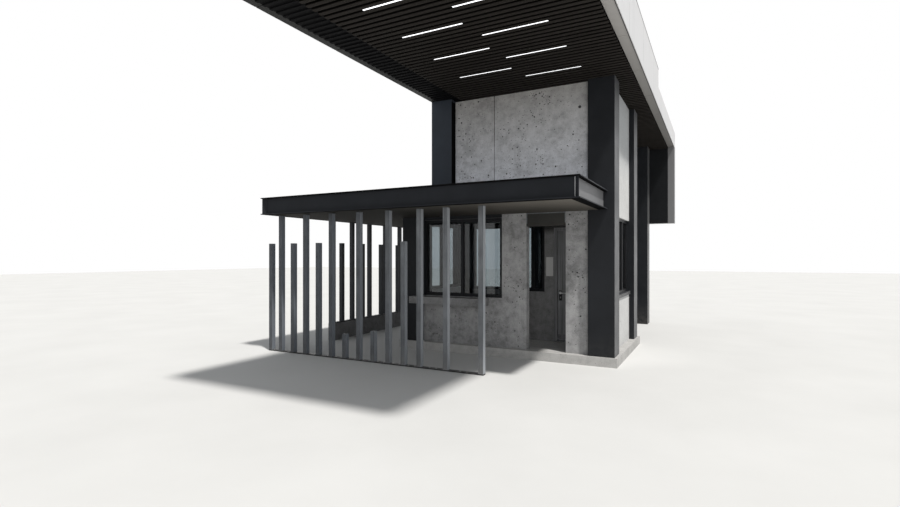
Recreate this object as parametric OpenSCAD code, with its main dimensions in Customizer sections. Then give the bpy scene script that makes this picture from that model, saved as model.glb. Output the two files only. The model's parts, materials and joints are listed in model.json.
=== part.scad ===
// Guard booth with a vestibule door, a low canopy on a row of posts, a post screen
// and a long high roof that folds down at its rear end.
// Origin: middle of the plinth at ground level. Front is -Y, up is +Z.

/* [Booth] */
// Width over the columns
booth_w = 3980; // [3700:10:4400]
// Depth over the columns
booth_d = 2520; // [2480:10:3000]
// Side of a square box column
column_w = 420; // [300:10:430]
// Plate thickness of a box column
column_t = 12; // [6:1:20]
// Thickness of the concrete walls
wall_t = 150; // [100:5:180]
// How far the walls stand back from the column faces
wall_inset = 95; // [40:5:130]

/* [Plinth] */
// Height of the concrete plinth
plinth_h = 150; // [100:5:250]
// How far the plinth shows past the columns
plinth_edge = 45; // [20:5:100]
// Thickness of the floor finish inside
floor_t = 10; // [6:1:12]

/* [Walls and windows] */
// Height of the window sills above the ground
sill_z = 1020; // [900:10:1200]
// Height of the sills of the side windows above the ground
side_sill_z = 1085; // [1000:5:1200]
// Height of the window heads above the ground
head_z = 2450; // [2350:10:2480]
// Width of the rear window, from the left column
rear_window_w = 1670; // [1300:10:2200]
// Width of the pier between the front window and the entrance
pier_w = 456; // [300:2:600]
// Width of the entrance opening
entrance_w = 688; // [610:2:780]
// Width of the pier between the entrance and the right column
entrance_pier_w = 386; // [350:2:450]
// Height of the entrance header above the ground
entrance_z = 2280; // [2270:10:2380]
// Face width of a window frame bar
bar_w = 50; // [30:1:70]
// Spacing of the grooves in the side panels
groove_pitch = 140; // [100:10:200]
// Width of a groove
groove_w = 12; // [6:1:20]
// Depth of a groove
groove_d = 8; // [4:1:15]
// Depth of a window frame
bar_d = 70; // [40:1:90]
// Set-back of a window frame from the wall face
frame_setback = 35; // [0:1:50]
// Thickness of the glass
glass_t = 8; // [4:1:12]
// Sheet thickness of a sill flashing
flashing_t = 3; // [2:0.5:5]
// How far a sill flashing runs out past the wall face
flashing_out = 25; // [15:1:40]
// Height of the drip of a sill flashing
flashing_h = 55; // [20:5:80]

/* [Counter shelf] */
// Length of the concrete shelf under the front window
counter_w = 1520; // [1000:10:1600]
// How far the shelf runs in front of the left column
counter_lap = 165; // [0:5:200]
// Projection of the shelf from the wall face
counter_d = 275; // [200:5:350]
// Thickness of the shelf
counter_t = 130; // [60:5:150]
// Height of the top of the shelf above the ground
counter_z = 1010; // [950:5:1020]

/* [Vestibule] */
// Depth of the vestibule behind the front wall face
vestibule_d = 1050; // [850:10:1090]
// Thickness of the vestibule walls
partition_t = 100; // [90:5:130]
// Height of the sill of the vestibule window
vestibule_sill_z = 1085; // [900:5:1300]
// Width of the wall strip between the vestibule window and the door frame
vestibule_strip_w = 184; // [100:2:190]
// Width of the left pane of the vestibule window
vestibule_pane_w = 82; // [60:1:90]

/* [Door] */
// Width of the wall strip between the door frame and the right wall
door_strip_w = 146; // [100:2:200]
// Width of the door leaf
door_w = 820; // [780:5:850]
// Height of the door leaf
door_h = 2090; // [2000:5:2110]
// Thickness of the door leaf
door_t = 45; // [35:1:50]
// Face width of the door frame
jamb_w = 45; // [35:1:55]
// Running gap round the leaf
door_gap = 5; // [5:0.5:8]
// Running gap at the lock edge, which swings past its jamb
lock_gap = 8; // [7:0.5:12]
// Width of the stop that the leaf closes against
stop_w = 15; // [10:1:20]
// Height of the handles above the ground
handle_z = 1070; // [950:10:1200]
// From the lock edge of the leaf to the handle's spindle
handle_inset = 60; // [45:5:80]
// Length of a lever
lever_l = 125; // [100:5:140]
// Radius of a lever and of its neck
lever_r = 10; // [7:0.5:12]
// From the leaf's face to the middle of a lever
lever_out = 45; // [35:1:50]
// Radius of the round rose behind a lever
rose_r = 26; // [20:1:32]
// Thickness of the rose
rose_t = 8; // [4:1:10]
// From the leaf's lower and upper edges to the outer hinges
hinge_inset = 200; // [120:10:300]
// Radius of a hinge knuckle
knuckle_r = 9; // [7:0.5:10]
// Height of one half of a hinge
knuckle_h = 45; // [30:1:60]
// Radius of a hinge pin
pin_r = 5; // [3:0.5:6]
// Running clearance round a hinge pin
pin_gap = 0.3; // [0.2:0.1:0.5]

/* [Upper storey] */
// How far the upper left columns stand in from the booth's left side
upper_setback = 650; // [450:10:900]
// Width of the shadow gap beside the upper left columns
shadow_gap = 35; // [15:1:60]
// Width of the left one of the two upper panels
left_panel_w = 774; // [500:2:1100]
// Width of the joint between two upper panels
joint_w = 12; // [6:1:20]

/* [Low canopy] */
// Underside of the canopy beams above the ground
canopy_z = 2510; // [2500:10:2650]
// Depth of the canopy beams
canopy_h = 300; // [260:10:360]
// Reach of the canopy in front of the columns
canopy_front = 1830; // [1500:10:2100]
// Reach of the canopy past the left columns
canopy_left = 1845; // [1500:10:2100]
// Reach of the canopy behind the columns
canopy_rear = 330; // [250:10:500]
// How far the canopy's right end stops short of the right column's outer face
canopy_right = 105; // [0:5:200]
// Width of a beam flange
flange_w = 150; // [120:2:180]
// Thickness of a beam flange
flange_t = 15; // [10:1:20]
// Thickness of a beam web
web_t = 10; // [6:1:14]
// Thickness of the plate that closes a mitred corner outside the webs
stiffener_t = 10; // [6:1:15]
// How far that plate stands in from the flange corner
stiffener_in = 20; // [10:1:40]
// Thickness of the soffit board
soffit_t = 15; // [9:1:25]
// Thickness of the canopy roof sheet
deck_t = 20; // [10:1:40]

/* [Posts] */
// Side of a square post
post_w = 80; // [60:5:100]
// Wall of a square post
post_t = 4; // [3:0.5:6]
// Spacing of the tall front posts
post_pitch = 597; // [500:1:620]
// Number of tall front posts
post_count = 8; // [4:1:8]
// Number of them before the closer spacing
post_group = 6; // [3:1:8]
// The closer spacing, between two groups of tall posts
post_close = 475; // [300:5:600]
// From the first short front post to the first tall one
post_lead = 250; // [150:5:300]
// Least clearance between two posts
post_clear = 5; // [5:1:20]
// From the canopy's left edge to the middle of the first tall post
post_start = 113; // [100:1:200]
// From the canopy's front edge to the middle of the posts
post_setback = 400; // [250:10:600]
// Height of the short posts
short_h = 2000; // [1500:10:2200]
// Height of the stub posts
stub_h = 430; // [200:10:600]
// Height of the taller stub post
tall_stub_h = 520; // [200:10:700]

/* [Screen] */
// Thickness of the low concrete wall
screen_t = 150; // [100:5:200]
// Height of the low concrete wall
screen_h = 350; // [200:10:500]
// Thickness of the flat bars that the posts stand on
rail_t = 20; // [10:1:40]
// Spacing of the tall screen posts
screen_pitch = 633; // [500:1:660]
// Number of tall screen posts
screen_count = 5; // [3:1:5]
// Height of the short screen posts above the ground
screen_short_h = 2050; // [1500:10:2300]
// From the first tall screen post to the first short one
screen_short_in = 285; // [100:5:500]
// How much farther each next short post stands from its tall one
screen_drift = 87; // [0:1:150]
// From the middle of the last tall screen post to the canopy's rear edge
screen_end = 288; // [200:2:400]
// How far the low wall runs on past its end posts
screen_lap = 60; // [45:5:150]

/* [High roof] */
// Underside of the slats of the high roof above the ground
roof_z = 4625; // [4200:5:5000]
// From the underside of the slats to the top of the roof edge
roof_h = 440; // [300:5:550]
// Reach of the high roof in front of the columns
roof_front = 4830; // [4500:10:6000]
// Reach of the high roof behind the columns
roof_rear = 4060; // [3000:10:4500]
// Reach of the high roof past the right columns
roof_right = 420; // [200:5:600]
// Width of the boxed edge along the front, the right and the rear
edge_w = 155; // [100:5:200]
// Width of the boxed edge along the left
left_edge_w = 120; // [100:5:200]
// Thickness of the sheet of the boxed edges
edge_t = 12; // [6:1:20]
// Width of the left roof girder, which shows beside the slats
left_girder_w = 470; // [300:5:500]
// Plate thickness of the roof girders
girder_t = 14; // [8:1:20]
// Thickness of the roof deck
roof_deck_t = 30; // [15:1:60]
// Depth of the roof deck below the top of the edge
roof_deck_drop = 40; // [20:5:80]
// Height of the raised edge along the right side
parapet_h = 355; // [200:5:600]
// Length of the raised edge, from the front
parapet_l = 7170; // [5000:10:9000]

/* [Slatted soffit] */
// Spacing of the slats
slat_pitch = 105; // [90:1:130]
// Width of a slat
slat_w = 55; // [40:1:60]
// Depth of a slat below the backing board
slat_d = 40; // [20:1:60]
// Thickness of the backing board
board_t = 15; // [9:1:25]
// Clearance of the slats round a column
slat_gap = 5; // [2:1:15]

/* [Lights] */
// Length of a light strip
light_l = 880; // [500:10:1000]
// Width of a light strip
light_w = 36; // [20:1:45]
// Depth of a light strip
light_d = 30; // [10:1:38]
// Rows of lights in each of the two lines
light_rows = 5; // [2:1:5]
// Slats from one row to the next
light_step = 8; // [4:1:8]
// Slat gap that holds the front right light
light_first = 2; // [2:1:12]
// From the right side of the booth to the end of the right line
light_right = 385; // [200:5:600]
// Gap between the two lines, seen along the slats
light_between = 80; // [50:5:400]

/* [Rear return] */
// Thickness of the drop panel at the rear end
return_t = 270; // [200:5:500]
// Underside of the drop panel above the ground
return_z = 2650; // [2300:10:3200]
// Gap between the rear columns and the drop panel
return_gap = 115; // [10:5:300]
// How far the rear right column stands in from the booth's right side
rear_column_in = 180; // [0:10:300]

/* [Hidden] */

steel = "#26282b";
concrete = "#8d8b87";
galvanised = "#5f6164";
pale_steel = "#c9c8c4";
white_panel = "#e4e4e2";

// How far a cutting tool runs past the face that it cuts
cut = 1;

// Bays of the windows that are divided evenly
front_bays = 2;
left_bays = 2;
right_bays = 3;
rear_bays = 2;

// Outer faces of the columns
left_x = -booth_w/2;
right_x = booth_w/2;
front_y = -booth_d/2;
rear_y = booth_d/2;
// Inner faces of the columns
left_in = left_x + column_w;
right_in = right_x - column_w;
front_in = front_y + column_w;
rear_in = rear_y - column_w;
// Outer faces of the walls
wall_left = left_x + wall_inset;
wall_right = right_x - wall_inset;
wall_front = front_y + wall_inset;
wall_rear = rear_y - wall_inset;
// Inner faces of the walls
room_left = wall_left + wall_t;
room_right = wall_right - wall_t;
room_front = wall_front + wall_t;
room_rear = wall_rear - wall_t;

// Levels
beam_z = canopy_z + soffit_t;
canopy_top = canopy_z + canopy_h;
floor_z = plinth_h + floor_t;
board_z = roof_z + slat_d;
right_girder_z = board_z + board_t;
roof_top = roof_z + roof_h;
deck_top = roof_top - roof_deck_drop;
girder_top = deck_top - roof_deck_t;

// Divisions of the front wall
entrance_end = right_in - entrance_pier_w;
entrance_start = entrance_end - entrance_w;
window_end = entrance_start - pier_w;

// Upper left columns
upper_x = left_x + upper_setback;
upper_in = upper_x + column_w;
panel_start = upper_in + shadow_gap;
panel_joint = panel_start + left_panel_w;

// Left wall of the vestibule, behind the jamb of the front window
vestibule_x = window_end - bar_w + partition_t;

// Wall with the door, at the back of the vestibule
door_wall_y = wall_front + vestibule_d;
door_wall_in = door_wall_y + partition_t;
frame_end = room_right - door_strip_w;
leaf_end = frame_end - jamb_w - door_gap;
leaf_x = leaf_end - door_w;
frame_x = leaf_x - lock_gap - jamb_w;
leaf_z = floor_z + door_gap;
leaf_top = leaf_z + door_h;
frame_top = leaf_top + door_gap + jamb_w;
leaf_in_y = door_wall_in - door_gap;
leaf_y = leaf_in_y - door_t;
// The hinge axis stands clear of the inner faces of leaf and frame
hinge_x = leaf_end + 12;
hinge_y = door_wall_in + knuckle_r + 1;
hinge_zs = [leaf_z + hinge_inset, leaf_z + door_h/2, leaf_top - hinge_inset];
hinge_plate_t = 3;
hinge_plate_w = 36;

// Windows
window_h = head_z - sill_z;
front_window_w = window_end - left_in;
side_window_h = head_z - side_sill_z;
side_window_w = rear_in - front_in;
vestibule_window_h = head_z - vestibule_sill_z;
vestibule_window_w = frame_x - vestibule_strip_w - vestibule_x;
// Upright bars of the vestibule window, by their left edges
vestibule_bars = [0, bar_w + vestibule_pane_w, vestibule_window_w - bar_w];

// Canopy outline at the flange tips, and the middle of its webs
canopy_x = left_x - canopy_left;
canopy_end = right_x - canopy_right;
canopy_y = front_y - canopy_front;
canopy_back = rear_y + canopy_rear;
web_in = (flange_w - web_t)/2;
// Right end of the part of the canopy that runs on behind the booth
canopy_tail = upper_x;

// Roof outline
roof_x = upper_x;
roof_end = right_x + roof_right;
roof_y = front_y - roof_front;
roof_back = rear_y + roof_rear;
return_y = roof_back - return_t;
girder_x = roof_x + left_edge_w;
slats_x = girder_x + left_girder_w;
slats_end = roof_end - edge_w;
slats_y = roof_y + edge_w;
rear_column_y = return_y - return_gap - column_w;
rear_column_x = right_x - rear_column_in - column_w;

// Posts
post_y = canopy_y + post_setback;
first_post_x = canopy_x + post_start;
screen_x = canopy_x + flange_w/2;
screen_last_y = canopy_back - screen_end;
screen_first_y = screen_last_y - (screen_count - 1)*screen_pitch;
rail_top = screen_h + rail_t;

// Heights of the posts in front of and between the tall ones, from the left end of the row
between_h = [short_h, short_h, short_h, stub_h, tall_stub_h, short_h];

// Middle of a tall front post, where the second group stands closer to the first
function post_x(i) = first_post_x + i*post_pitch - (i < post_group ? 0 : post_pitch - post_close);

// Middle of a post between two tall front posts; the first one stands before the row
function between_x(i) = i == 0 ? first_post_x - post_lead : (post_x(i - 1) + post_x(i))/2;

// Middle of a short screen post, kept clear of the next tall one
function screen_short_y(i) = screen_first_y + i*screen_pitch
    + min(screen_short_in + i*screen_drift, screen_pitch - post_w - post_clear);

// Box between two opposite corners
module slab(a, b) {
    translate(a) cube([b.x - a.x, b.y - a.y, b.z - a.z]);
}

// Upright box section with a base plate and a cap plate
module box_column(x, y, z, top) {
    difference() {
        slab([x, y, z], [x + column_w, y + column_w, top]);
        slab([x + column_t, y + column_t, z + column_t],
            [x + column_w - column_t, y + column_w - column_t, top - column_t]);
    }
}

// Upright square tube round x, y, closed at the top
module post(x, y, z, top) {
    r = post_w/2;
    difference() {
        slab([x - r, y - r, z], [x + r, y + r, top]);
        slab([x - r + post_t, y - r + post_t, z - cut], [x + r - post_t, y + r - post_t, top - post_t]);
    }
}

// I section along +X from the origin, its flange tips from y = 0 to the flange width
module i_beam(length) {
    rotate([90, 0, 90]) linear_extrude(length) {
        square([flange_w, flange_t]);
        translate([0, canopy_h - flange_t]) square([flange_w, flange_t]);
        translate([web_in, 0]) square([web_t, canopy_h]);
    }
}

// I section between two points in plan, to the left of its direction, cut to a mitre
// at its start or its end where the sign there is 1 (inner side shorter)
module mitred_beam(start, direction, length, start_mitre, end_mitre) {
    translate([start.x, start.y, canopy_z]) rotate(direction) intersection() {
        i_beam(length);
        translate([0, 0, -cut]) linear_extrude(canopy_h + 2*cut) polygon([
            [0, 0], [length, 0],
            [length - end_mitre*flange_w, flange_w], [start_mitre*flange_w, flange_w]
        ]);
    }
}

// Left edges of the upright bars of a window with even bays
function even_bars(width, bays) = [for (i = [0 : bays]) i*(width - bar_w)/bays];

// Frame in the XZ plane from the origin, with upright bars at the given places
module window_frame(bars, height) {
    last = len(bars) - 1;
    rotate([90, 0, 0]) translate([0, 0, -bar_d]) linear_extrude(bar_d) difference() {
        square([bars[last] + bar_w, height]);
        for (i = [0 : last - 1])
            translate([bars[i] + bar_w, bar_w])
                square([bars[i + 1] - bars[i] - bar_w, height - 2*bar_w]);
    }
}

// Panes that fill the same frame
module window_panes(bars, height) {
    for (i = [0 : len(bars) - 2])
        translate([bars[i] + bar_w, (bar_d - glass_t)/2, bar_w])
            cube([bars[i + 1] - bars[i] - bar_w, glass_t, height - 2*bar_w]);
}

module plinth() color(concrete)
    slab([left_x - plinth_edge, front_y - plinth_edge, 0],
        [right_x + plinth_edge, rear_y + plinth_edge, plinth_h]);

// The four columns of the booth in plan
module column_plan() {
    for (x = [left_x, right_in], y = [front_y, rear_in]) translate([x, y]) square([column_w, column_w]);
}

// Level sheet over the room, cut out round the columns
module room_sheet(z, thickness) {
    translate([0, 0, z]) linear_extrude(thickness) difference() {
        translate([room_left, room_front]) square([room_right - room_left, room_rear - room_front]);
        column_plan();
    }
}

// Floor finish of the room, cut out round the vestibule
module floor_finish() color("#7d7a75") difference() {
    room_sheet(plinth_h, floor_t);
    slab([vestibule_x - partition_t, room_front - cut, plinth_h - cut],
        [room_right + cut, door_wall_in, floor_z + cut]);
}

module booth_columns() color(steel) {
    for (y = [front_y, rear_in]) {
        box_column(left_x, y, plinth_h, beam_z);
        box_column(right_in, y, plinth_h, right_girder_z);
    }
}

module upper_columns() color(steel)
    for (y = [front_y, rear_in]) box_column(upper_x, y, canopy_top, board_z);

module rear_columns() color(steel) {
    box_column(upper_x, rear_column_y, 0, board_z);
    box_column(rear_column_x, rear_column_y, 0, right_girder_z);
}

// Beams across the front and the rear, over the left columns to the right ones
module transfer_beams() color(steel)
    for (y = [front_y, rear_in]) difference() {
        slab([left_x, y, beam_z], [right_in, y + column_w, canopy_top]);
        slab([left_x - cut, y + column_t, beam_z + column_t],
            [right_in + cut, y + column_w - column_t, canopy_top - column_t]);
    }

// Box beam from the front transfer beam to the rear one
module tie_beam(x, x_end) {
    difference() {
        slab([x, front_in, beam_z], [x_end, rear_in, canopy_top]);
        slab([x + column_t, front_in - cut, beam_z + column_t],
            [x_end - column_t, rear_in + cut, canopy_top - column_t]);
    }
}

// Beams under the left upper wall and inside the right one
module tie_beams() color(steel) {
    tie_beam(upper_x, upper_in);
    tie_beam(right_in, room_right);
}

module ceiling_board() color("#bdbbb6") room_sheet(canopy_z, soffit_t);

module front_dado() color(concrete)
    slab([left_in, wall_front, plinth_h], [window_end, room_front, sill_z]);

module front_piers() color(concrete) {
    slab([window_end, wall_front, plinth_h], [entrance_start, room_front, beam_z]);
    slab([entrance_end, wall_front, plinth_h], [right_in, room_front, beam_z]);
}

module entrance_header() color("#3b3d40")
    slab([entrance_start, wall_front, entrance_z], [entrance_end, room_front, beam_z]);

// Steel strips over the front, left, rear and vestibule windows
module window_heads() color(steel) {
    slab([vestibule_x, door_wall_y, head_z],
        [vestibule_x + vestibule_window_w, door_wall_in, canopy_z]);
    slab([left_in, wall_front, head_z], [window_end, room_front, beam_z]);
    slab([left_in, room_rear, head_z], [left_in + rear_window_w, wall_rear, beam_z]);
    slab([wall_left, front_in, head_z], [room_left, rear_in, beam_z]);
}

// Shelf under the front window, cut out round the left column
module counter_shelf() color(concrete) difference() {
    slab([left_in - counter_lap, wall_front - counter_d, counter_z - counter_t],
        [left_in - counter_lap + counter_w, wall_front, counter_z]);
    slab([left_x, front_y, counter_z - counter_t - cut], [left_in, front_in, counter_z + cut]);
}

// Grooves down a side panel, centred on its length, cut into the face at x
module grooves(x, z, top) {
    count = floor((rear_in - front_in)/groove_pitch);
    for (i = [0 : count - 1]) {
        y = (i - (count - 1)/2)*groove_pitch;
        slab([x - groove_d, y - groove_w/2, z - cut], [x + groove_d, y + groove_w/2, top + cut]);
    }
}

// Grooved panels under the side windows
module side_dados() color(white_panel) {
    difference() {
        slab([wall_left, front_in, plinth_h], [room_left, rear_in, side_sill_z]);
        grooves(wall_left, plinth_h, side_sill_z);
    }
    difference() {
        slab([room_right, front_in, plinth_h], [wall_right, rear_in, side_sill_z]);
        grooves(wall_right, plinth_h, side_sill_z);
    }
}

module rear_dado() color(concrete)
    slab([left_in, room_rear, plinth_h], [left_in + rear_window_w, wall_rear, sill_z]);

module rear_wall() color(concrete)
    slab([left_in + rear_window_w, room_rear, plinth_h], [right_in, wall_rear, beam_z]);

module vestibule_dado() color(concrete)
    slab([vestibule_x, door_wall_y, plinth_h],
        [vestibule_x + vestibule_window_w, door_wall_in, vestibule_sill_z]);

// Left wall with a nib behind the front window's jamb, and strips on both sides of the door
module vestibule_wall() color(concrete) {
    slab([vestibule_x - partition_t, room_front, plinth_h], [vestibule_x, door_wall_in, canopy_z]);
    slab([window_end - bar_w, wall_front + frame_setback + bar_d, sill_z],
        [window_end, room_front + cut, head_z]);
    slab([frame_x - vestibule_strip_w, door_wall_y, plinth_h], [frame_x, door_wall_in, canopy_z]);
    slab([frame_end, door_wall_y, plinth_h], [room_right, door_wall_in, canopy_z]);
}

module door_header() color(concrete)
    slab([frame_x, door_wall_y, frame_top], [frame_end, door_wall_in, canopy_z]);

// Bent sheet along +X from the origin: over the sill to y = 0 and down outside it
module flashing(length) {
    back = frame_setback;
    rotate([90, 0, 90]) linear_extrude(length) polygon([
        [back, 0], [-flashing_out + flashing_t, 0], [-flashing_out + flashing_t, -flashing_h],
        [-flashing_out, -flashing_h], [-flashing_out, flashing_t], [back, flashing_t]
    ]);
}

// Flashings in front of the side and rear window frames, on the dados
module sill_flashings() color(steel) {
    translate([wall_left, rear_in, side_sill_z]) rotate(-90) flashing(side_window_w);
    translate([wall_right, front_in, side_sill_z]) rotate(90) flashing(side_window_w);
    translate([left_in + rear_window_w, wall_rear, sill_z]) rotate(180) flashing(rear_window_w);
}

module front_window_frame() color(steel)
    translate([left_in, wall_front + frame_setback, sill_z])
        window_frame(even_bars(front_window_w, front_bays), window_h);

module side_window_frames() color(steel) {
    translate([wall_left + frame_setback, rear_in, side_sill_z])
        rotate(-90) window_frame(even_bars(side_window_w, left_bays), side_window_h);
    translate([wall_right - frame_setback, front_in, side_sill_z])
        rotate(90) window_frame(even_bars(side_window_w, right_bays), side_window_h);
}

module rear_window_frame() color(steel)
    translate([left_in, wall_rear - frame_setback - bar_d, sill_z])
        window_frame(even_bars(rear_window_w, rear_bays), window_h);

module vestibule_window_frame() color(steel)
    translate([vestibule_x, door_wall_y + (partition_t - bar_d)/2, vestibule_sill_z])
        window_frame(vestibule_bars, vestibule_window_h);

module window_glass() color("#9fb4bd", 0.5) {
    translate([left_in, wall_front + frame_setback, sill_z])
        window_panes(even_bars(front_window_w, front_bays), window_h);
    translate([wall_left + frame_setback, rear_in, side_sill_z])
        rotate(-90) window_panes(even_bars(side_window_w, left_bays), side_window_h);
    translate([wall_right - frame_setback, front_in, side_sill_z])
        rotate(90) window_panes(even_bars(side_window_w, right_bays), side_window_h);
    translate([left_in, wall_rear - frame_setback - bar_d, sill_z])
        window_panes(even_bars(rear_window_w, rear_bays), window_h);
    translate([vestibule_x, door_wall_y + (partition_t - bar_d)/2, vestibule_sill_z])
        window_panes(vestibule_bars, vestibule_window_h);
}

// Rebated frame, with the fixed half of each hinge and its pin
module door_frame() color(steel) {
    difference() {
        slab([frame_x, door_wall_y, plinth_h], [frame_end, door_wall_in, frame_top]);
        slab([frame_x + jamb_w, leaf_y - door_gap, plinth_h - cut],
            [frame_end - jamb_w, door_wall_in + cut, leaf_top + door_gap]);
        slab([frame_x + jamb_w + stop_w, door_wall_y - cut, plinth_h - cut],
            [frame_end - jamb_w - stop_w, door_wall_in, leaf_top + door_gap - stop_w]);
    }
    for (z = hinge_zs) translate([hinge_x, hinge_y, z]) {
        translate([0, 0, -knuckle_h]) cylinder(r = knuckle_r, h = knuckle_h, $fn = 32);
        cylinder(r = pin_r, h = knuckle_h, $fn = 32);
        translate([0, door_wall_in - hinge_y, -knuckle_h])
            cube([hinge_plate_w, hinge_plate_t, knuckle_h]);
        translate([0, door_wall_in - hinge_y, -knuckle_h])
            cube([knuckle_r, knuckle_r + 1, knuckle_h]);
    }
}

// Leaf with the moving half of each hinge, bored for its pin
module door_leaf() color("#45484b") {
    slab([leaf_x, leaf_y, leaf_z], [leaf_end, leaf_in_y, leaf_top]);
    for (z = hinge_zs) translate([hinge_x, hinge_y, z + pin_gap]) difference() {
        union() {
            cylinder(r = knuckle_r, h = knuckle_h, $fn = 32);
            translate([leaf_end - hinge_x - hinge_plate_t, leaf_in_y - hinge_y, 0])
                cube([hinge_plate_t, hinge_y - leaf_in_y, knuckle_h]);
            translate([leaf_end - hinge_x - hinge_plate_t, 0, 0])
                cube([hinge_x - leaf_end + hinge_plate_t, hinge_plate_t, knuckle_h]);
        }
        translate([0, 0, -cut]) cylinder(r = pin_r + pin_gap, h = knuckle_h + 2*cut, $fn = 32);
    }
}

// Round rose and lever, on the face at y = 0, reaching to -Y
module lever() {
    rotate([90, 0, 0]) cylinder(r = rose_r, h = rose_t, $fn = 48);
    rotate([90, 0, 0]) cylinder(r = lever_r, h = lever_out, $fn = 32);
    translate([0, -lever_out, 0]) sphere(r = lever_r, $fn = 32);
    translate([0, -lever_out, 0]) rotate([0, 90, 0]) cylinder(r = lever_r, h = lever_l, $fn = 32);
    translate([lever_l, -lever_out, 0]) sphere(r = lever_r, $fn = 32);
}

module door_handles() color("#b9bbbd") {
    x = leaf_x + handle_inset;
    translate([x, leaf_y, handle_z]) lever();
    translate([x, leaf_in_y, handle_z]) mirror([0, 1, 0]) lever();
}

// Two panels side by side with a joint, at the wall face that starts at y
module upper_panels(y) {
    slab([panel_start, y, canopy_top], [panel_joint, y + wall_t, roof_z]);
    slab([panel_joint + joint_w, y, canopy_top], [right_in, y + wall_t, roof_z]);
}

module front_upper_panels() color(concrete) upper_panels(wall_front);

module rear_upper_panels() color(concrete) upper_panels(room_rear);

module right_upper_panel() color(white_panel) difference() {
    slab([room_right, front_in, head_z], [wall_right, rear_in, roof_z]);
    grooves(wall_right, head_z, roof_z);
}

module left_upper_panel() color(white_panel) difference() {
    x = upper_x + wall_inset;
    slab([x, front_in, canopy_top], [x + wall_t, rear_in, board_z]);
    grooves(x, canopy_top, board_z);
}

// Plate on the mitre, from the outer corner of the webs towards the flange corner at x
module corner_plate(x, side) {
    skew = stiffener_t*sqrt(2);
    translate([x, canopy_y, canopy_z + flange_t]) scale([side, 1, 1])
        linear_extrude(canopy_h - 2*flange_t) polygon([
            [stiffener_in, stiffener_in], [web_in, web_in],
            [web_in + skew, web_in], [stiffener_in + skew, stiffener_in]
        ]);
}

module canopy_front_beam() color(steel) {
    mitred_beam([canopy_x, canopy_y], 0, canopy_end - canopy_x, 1, 1);
    corner_plate(canopy_x, 1);
    corner_plate(canopy_end, -1);
}

module canopy_side_beams() color(steel) {
    mitred_beam([canopy_end, canopy_y], 90, front_y - canopy_y, 1, 0);
    mitred_beam([canopy_x, canopy_back], -90, canopy_back - canopy_y, 1, 1);
}

// Rear beam and its short return to the booth
module canopy_rear_beam() color(steel) {
    mitred_beam([canopy_tail, canopy_back], 180, canopy_tail - canopy_x, 1, 1);
    mitred_beam([canopy_tail, rear_y], 90, canopy_back - rear_y, 0, 1);
}

// Plan of the canopy inside its beams: a strip in front and a bay on the left
module canopy_plan(inset) {
    translate([canopy_x + inset, canopy_y + inset])
        square([canopy_end - canopy_x - 2*inset, wall_front - canopy_y - inset]);
    translate([canopy_x + inset, canopy_y + inset])
        square([canopy_tail - canopy_x - 2*inset, canopy_back - canopy_y - 2*inset]);
}

// Board between the lower flanges, cut out round the booth and its columns
module canopy_soffit() color("#7b756c")
    translate([0, 0, canopy_z]) linear_extrude(soffit_t) difference() {
        canopy_plan(flange_w);
        translate([wall_left, wall_front]) square([booth_w, wall_rear - wall_front]);
        for (y = [front_y, rear_in]) translate([left_x, y]) square([column_w, column_w]);
        translate([left_in, rear_in]) square([column_w, column_w]);
        translate([right_in, front_y]) square([column_w, column_w]);
    }

// Roof sheet under the top flanges, up to the beams that carry the upper storey
module canopy_deck() color("#3a3c3f")
    translate([0, 0, canopy_top - flange_t - deck_t]) linear_extrude(deck_t) difference() {
        canopy_plan(flange_w - web_in);
        for (y = [front_y, rear_in]) translate([left_x, y]) square([booth_w, column_w]);
        translate([upper_x, front_in]) square([booth_w, rear_in - front_in]);
    }

// Flat bar on the ground that the front posts stand on
module post_rail() color(steel)
    slab([between_x(0) - post_w/2, post_y - post_w/2, 0],
        [post_x(post_count - 1) + post_w/2, post_y + post_w/2, rail_t]);

module front_tall_posts() color(galvanised)
    for (i = [0 : post_count - 1]) post(post_x(i), post_y, rail_t, canopy_z);

module front_short_posts() color(galvanised)
    for (i = [0 : min(len(between_h), post_count) - 1])
        post(between_x(i), post_y, rail_t, between_h[i]);

module screen_wall() color(concrete)
    slab([screen_x - screen_t/2, screen_first_y - screen_lap, 0],
        [screen_x + screen_t/2, screen_last_y + screen_lap, screen_h]);

module screen_rail() color(steel)
    slab([screen_x - post_w/2, screen_first_y - screen_lap, screen_h],
        [screen_x + post_w/2, screen_last_y + screen_lap, rail_top]);

module screen_tall_posts() color(galvanised)
    for (i = [0 : screen_count - 1]) post(screen_x, screen_first_y + i*screen_pitch, rail_top, canopy_z);

module screen_short_posts() color(galvanised)
    for (i = [0 : screen_count - 2])
        post(screen_x, screen_short_y(i), rail_top, screen_short_h);

// Box section along Y between two heights
module girder(x, width, z) {
    difference() {
        slab([x, slats_y, z], [x + width, roof_back - edge_w, girder_top]);
        slab([x + girder_t, slats_y - cut, z + girder_t],
            [x + width - girder_t, roof_back - edge_w + cut, girder_top - girder_t]);
    }
}

module roof_girders() color(steel) {
    girder(girder_x, left_girder_w, board_z);
    girder(right_in, column_w, right_girder_z);
}

module roof_deck() color("#8f9193")
    slab([girder_x, slats_y, girder_top], [slats_end, roof_back - edge_w, deck_top]);

// Comb section of backing board and slats, along Y from the front
slat_count = floor((return_y - slats_y - slat_w)/slat_pitch) + 1;
function comb_section() = concat(
    [for (i = [0 : slat_count - 1], p = [0 : 3])
        [slats_y + i*slat_pitch + (p < 2 ? 0 : slat_w), p == 1 || p == 2 ? roof_z : board_z]],
    [[return_y, board_z], [return_y, right_girder_z], [slats_y, right_girder_z]]);

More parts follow.
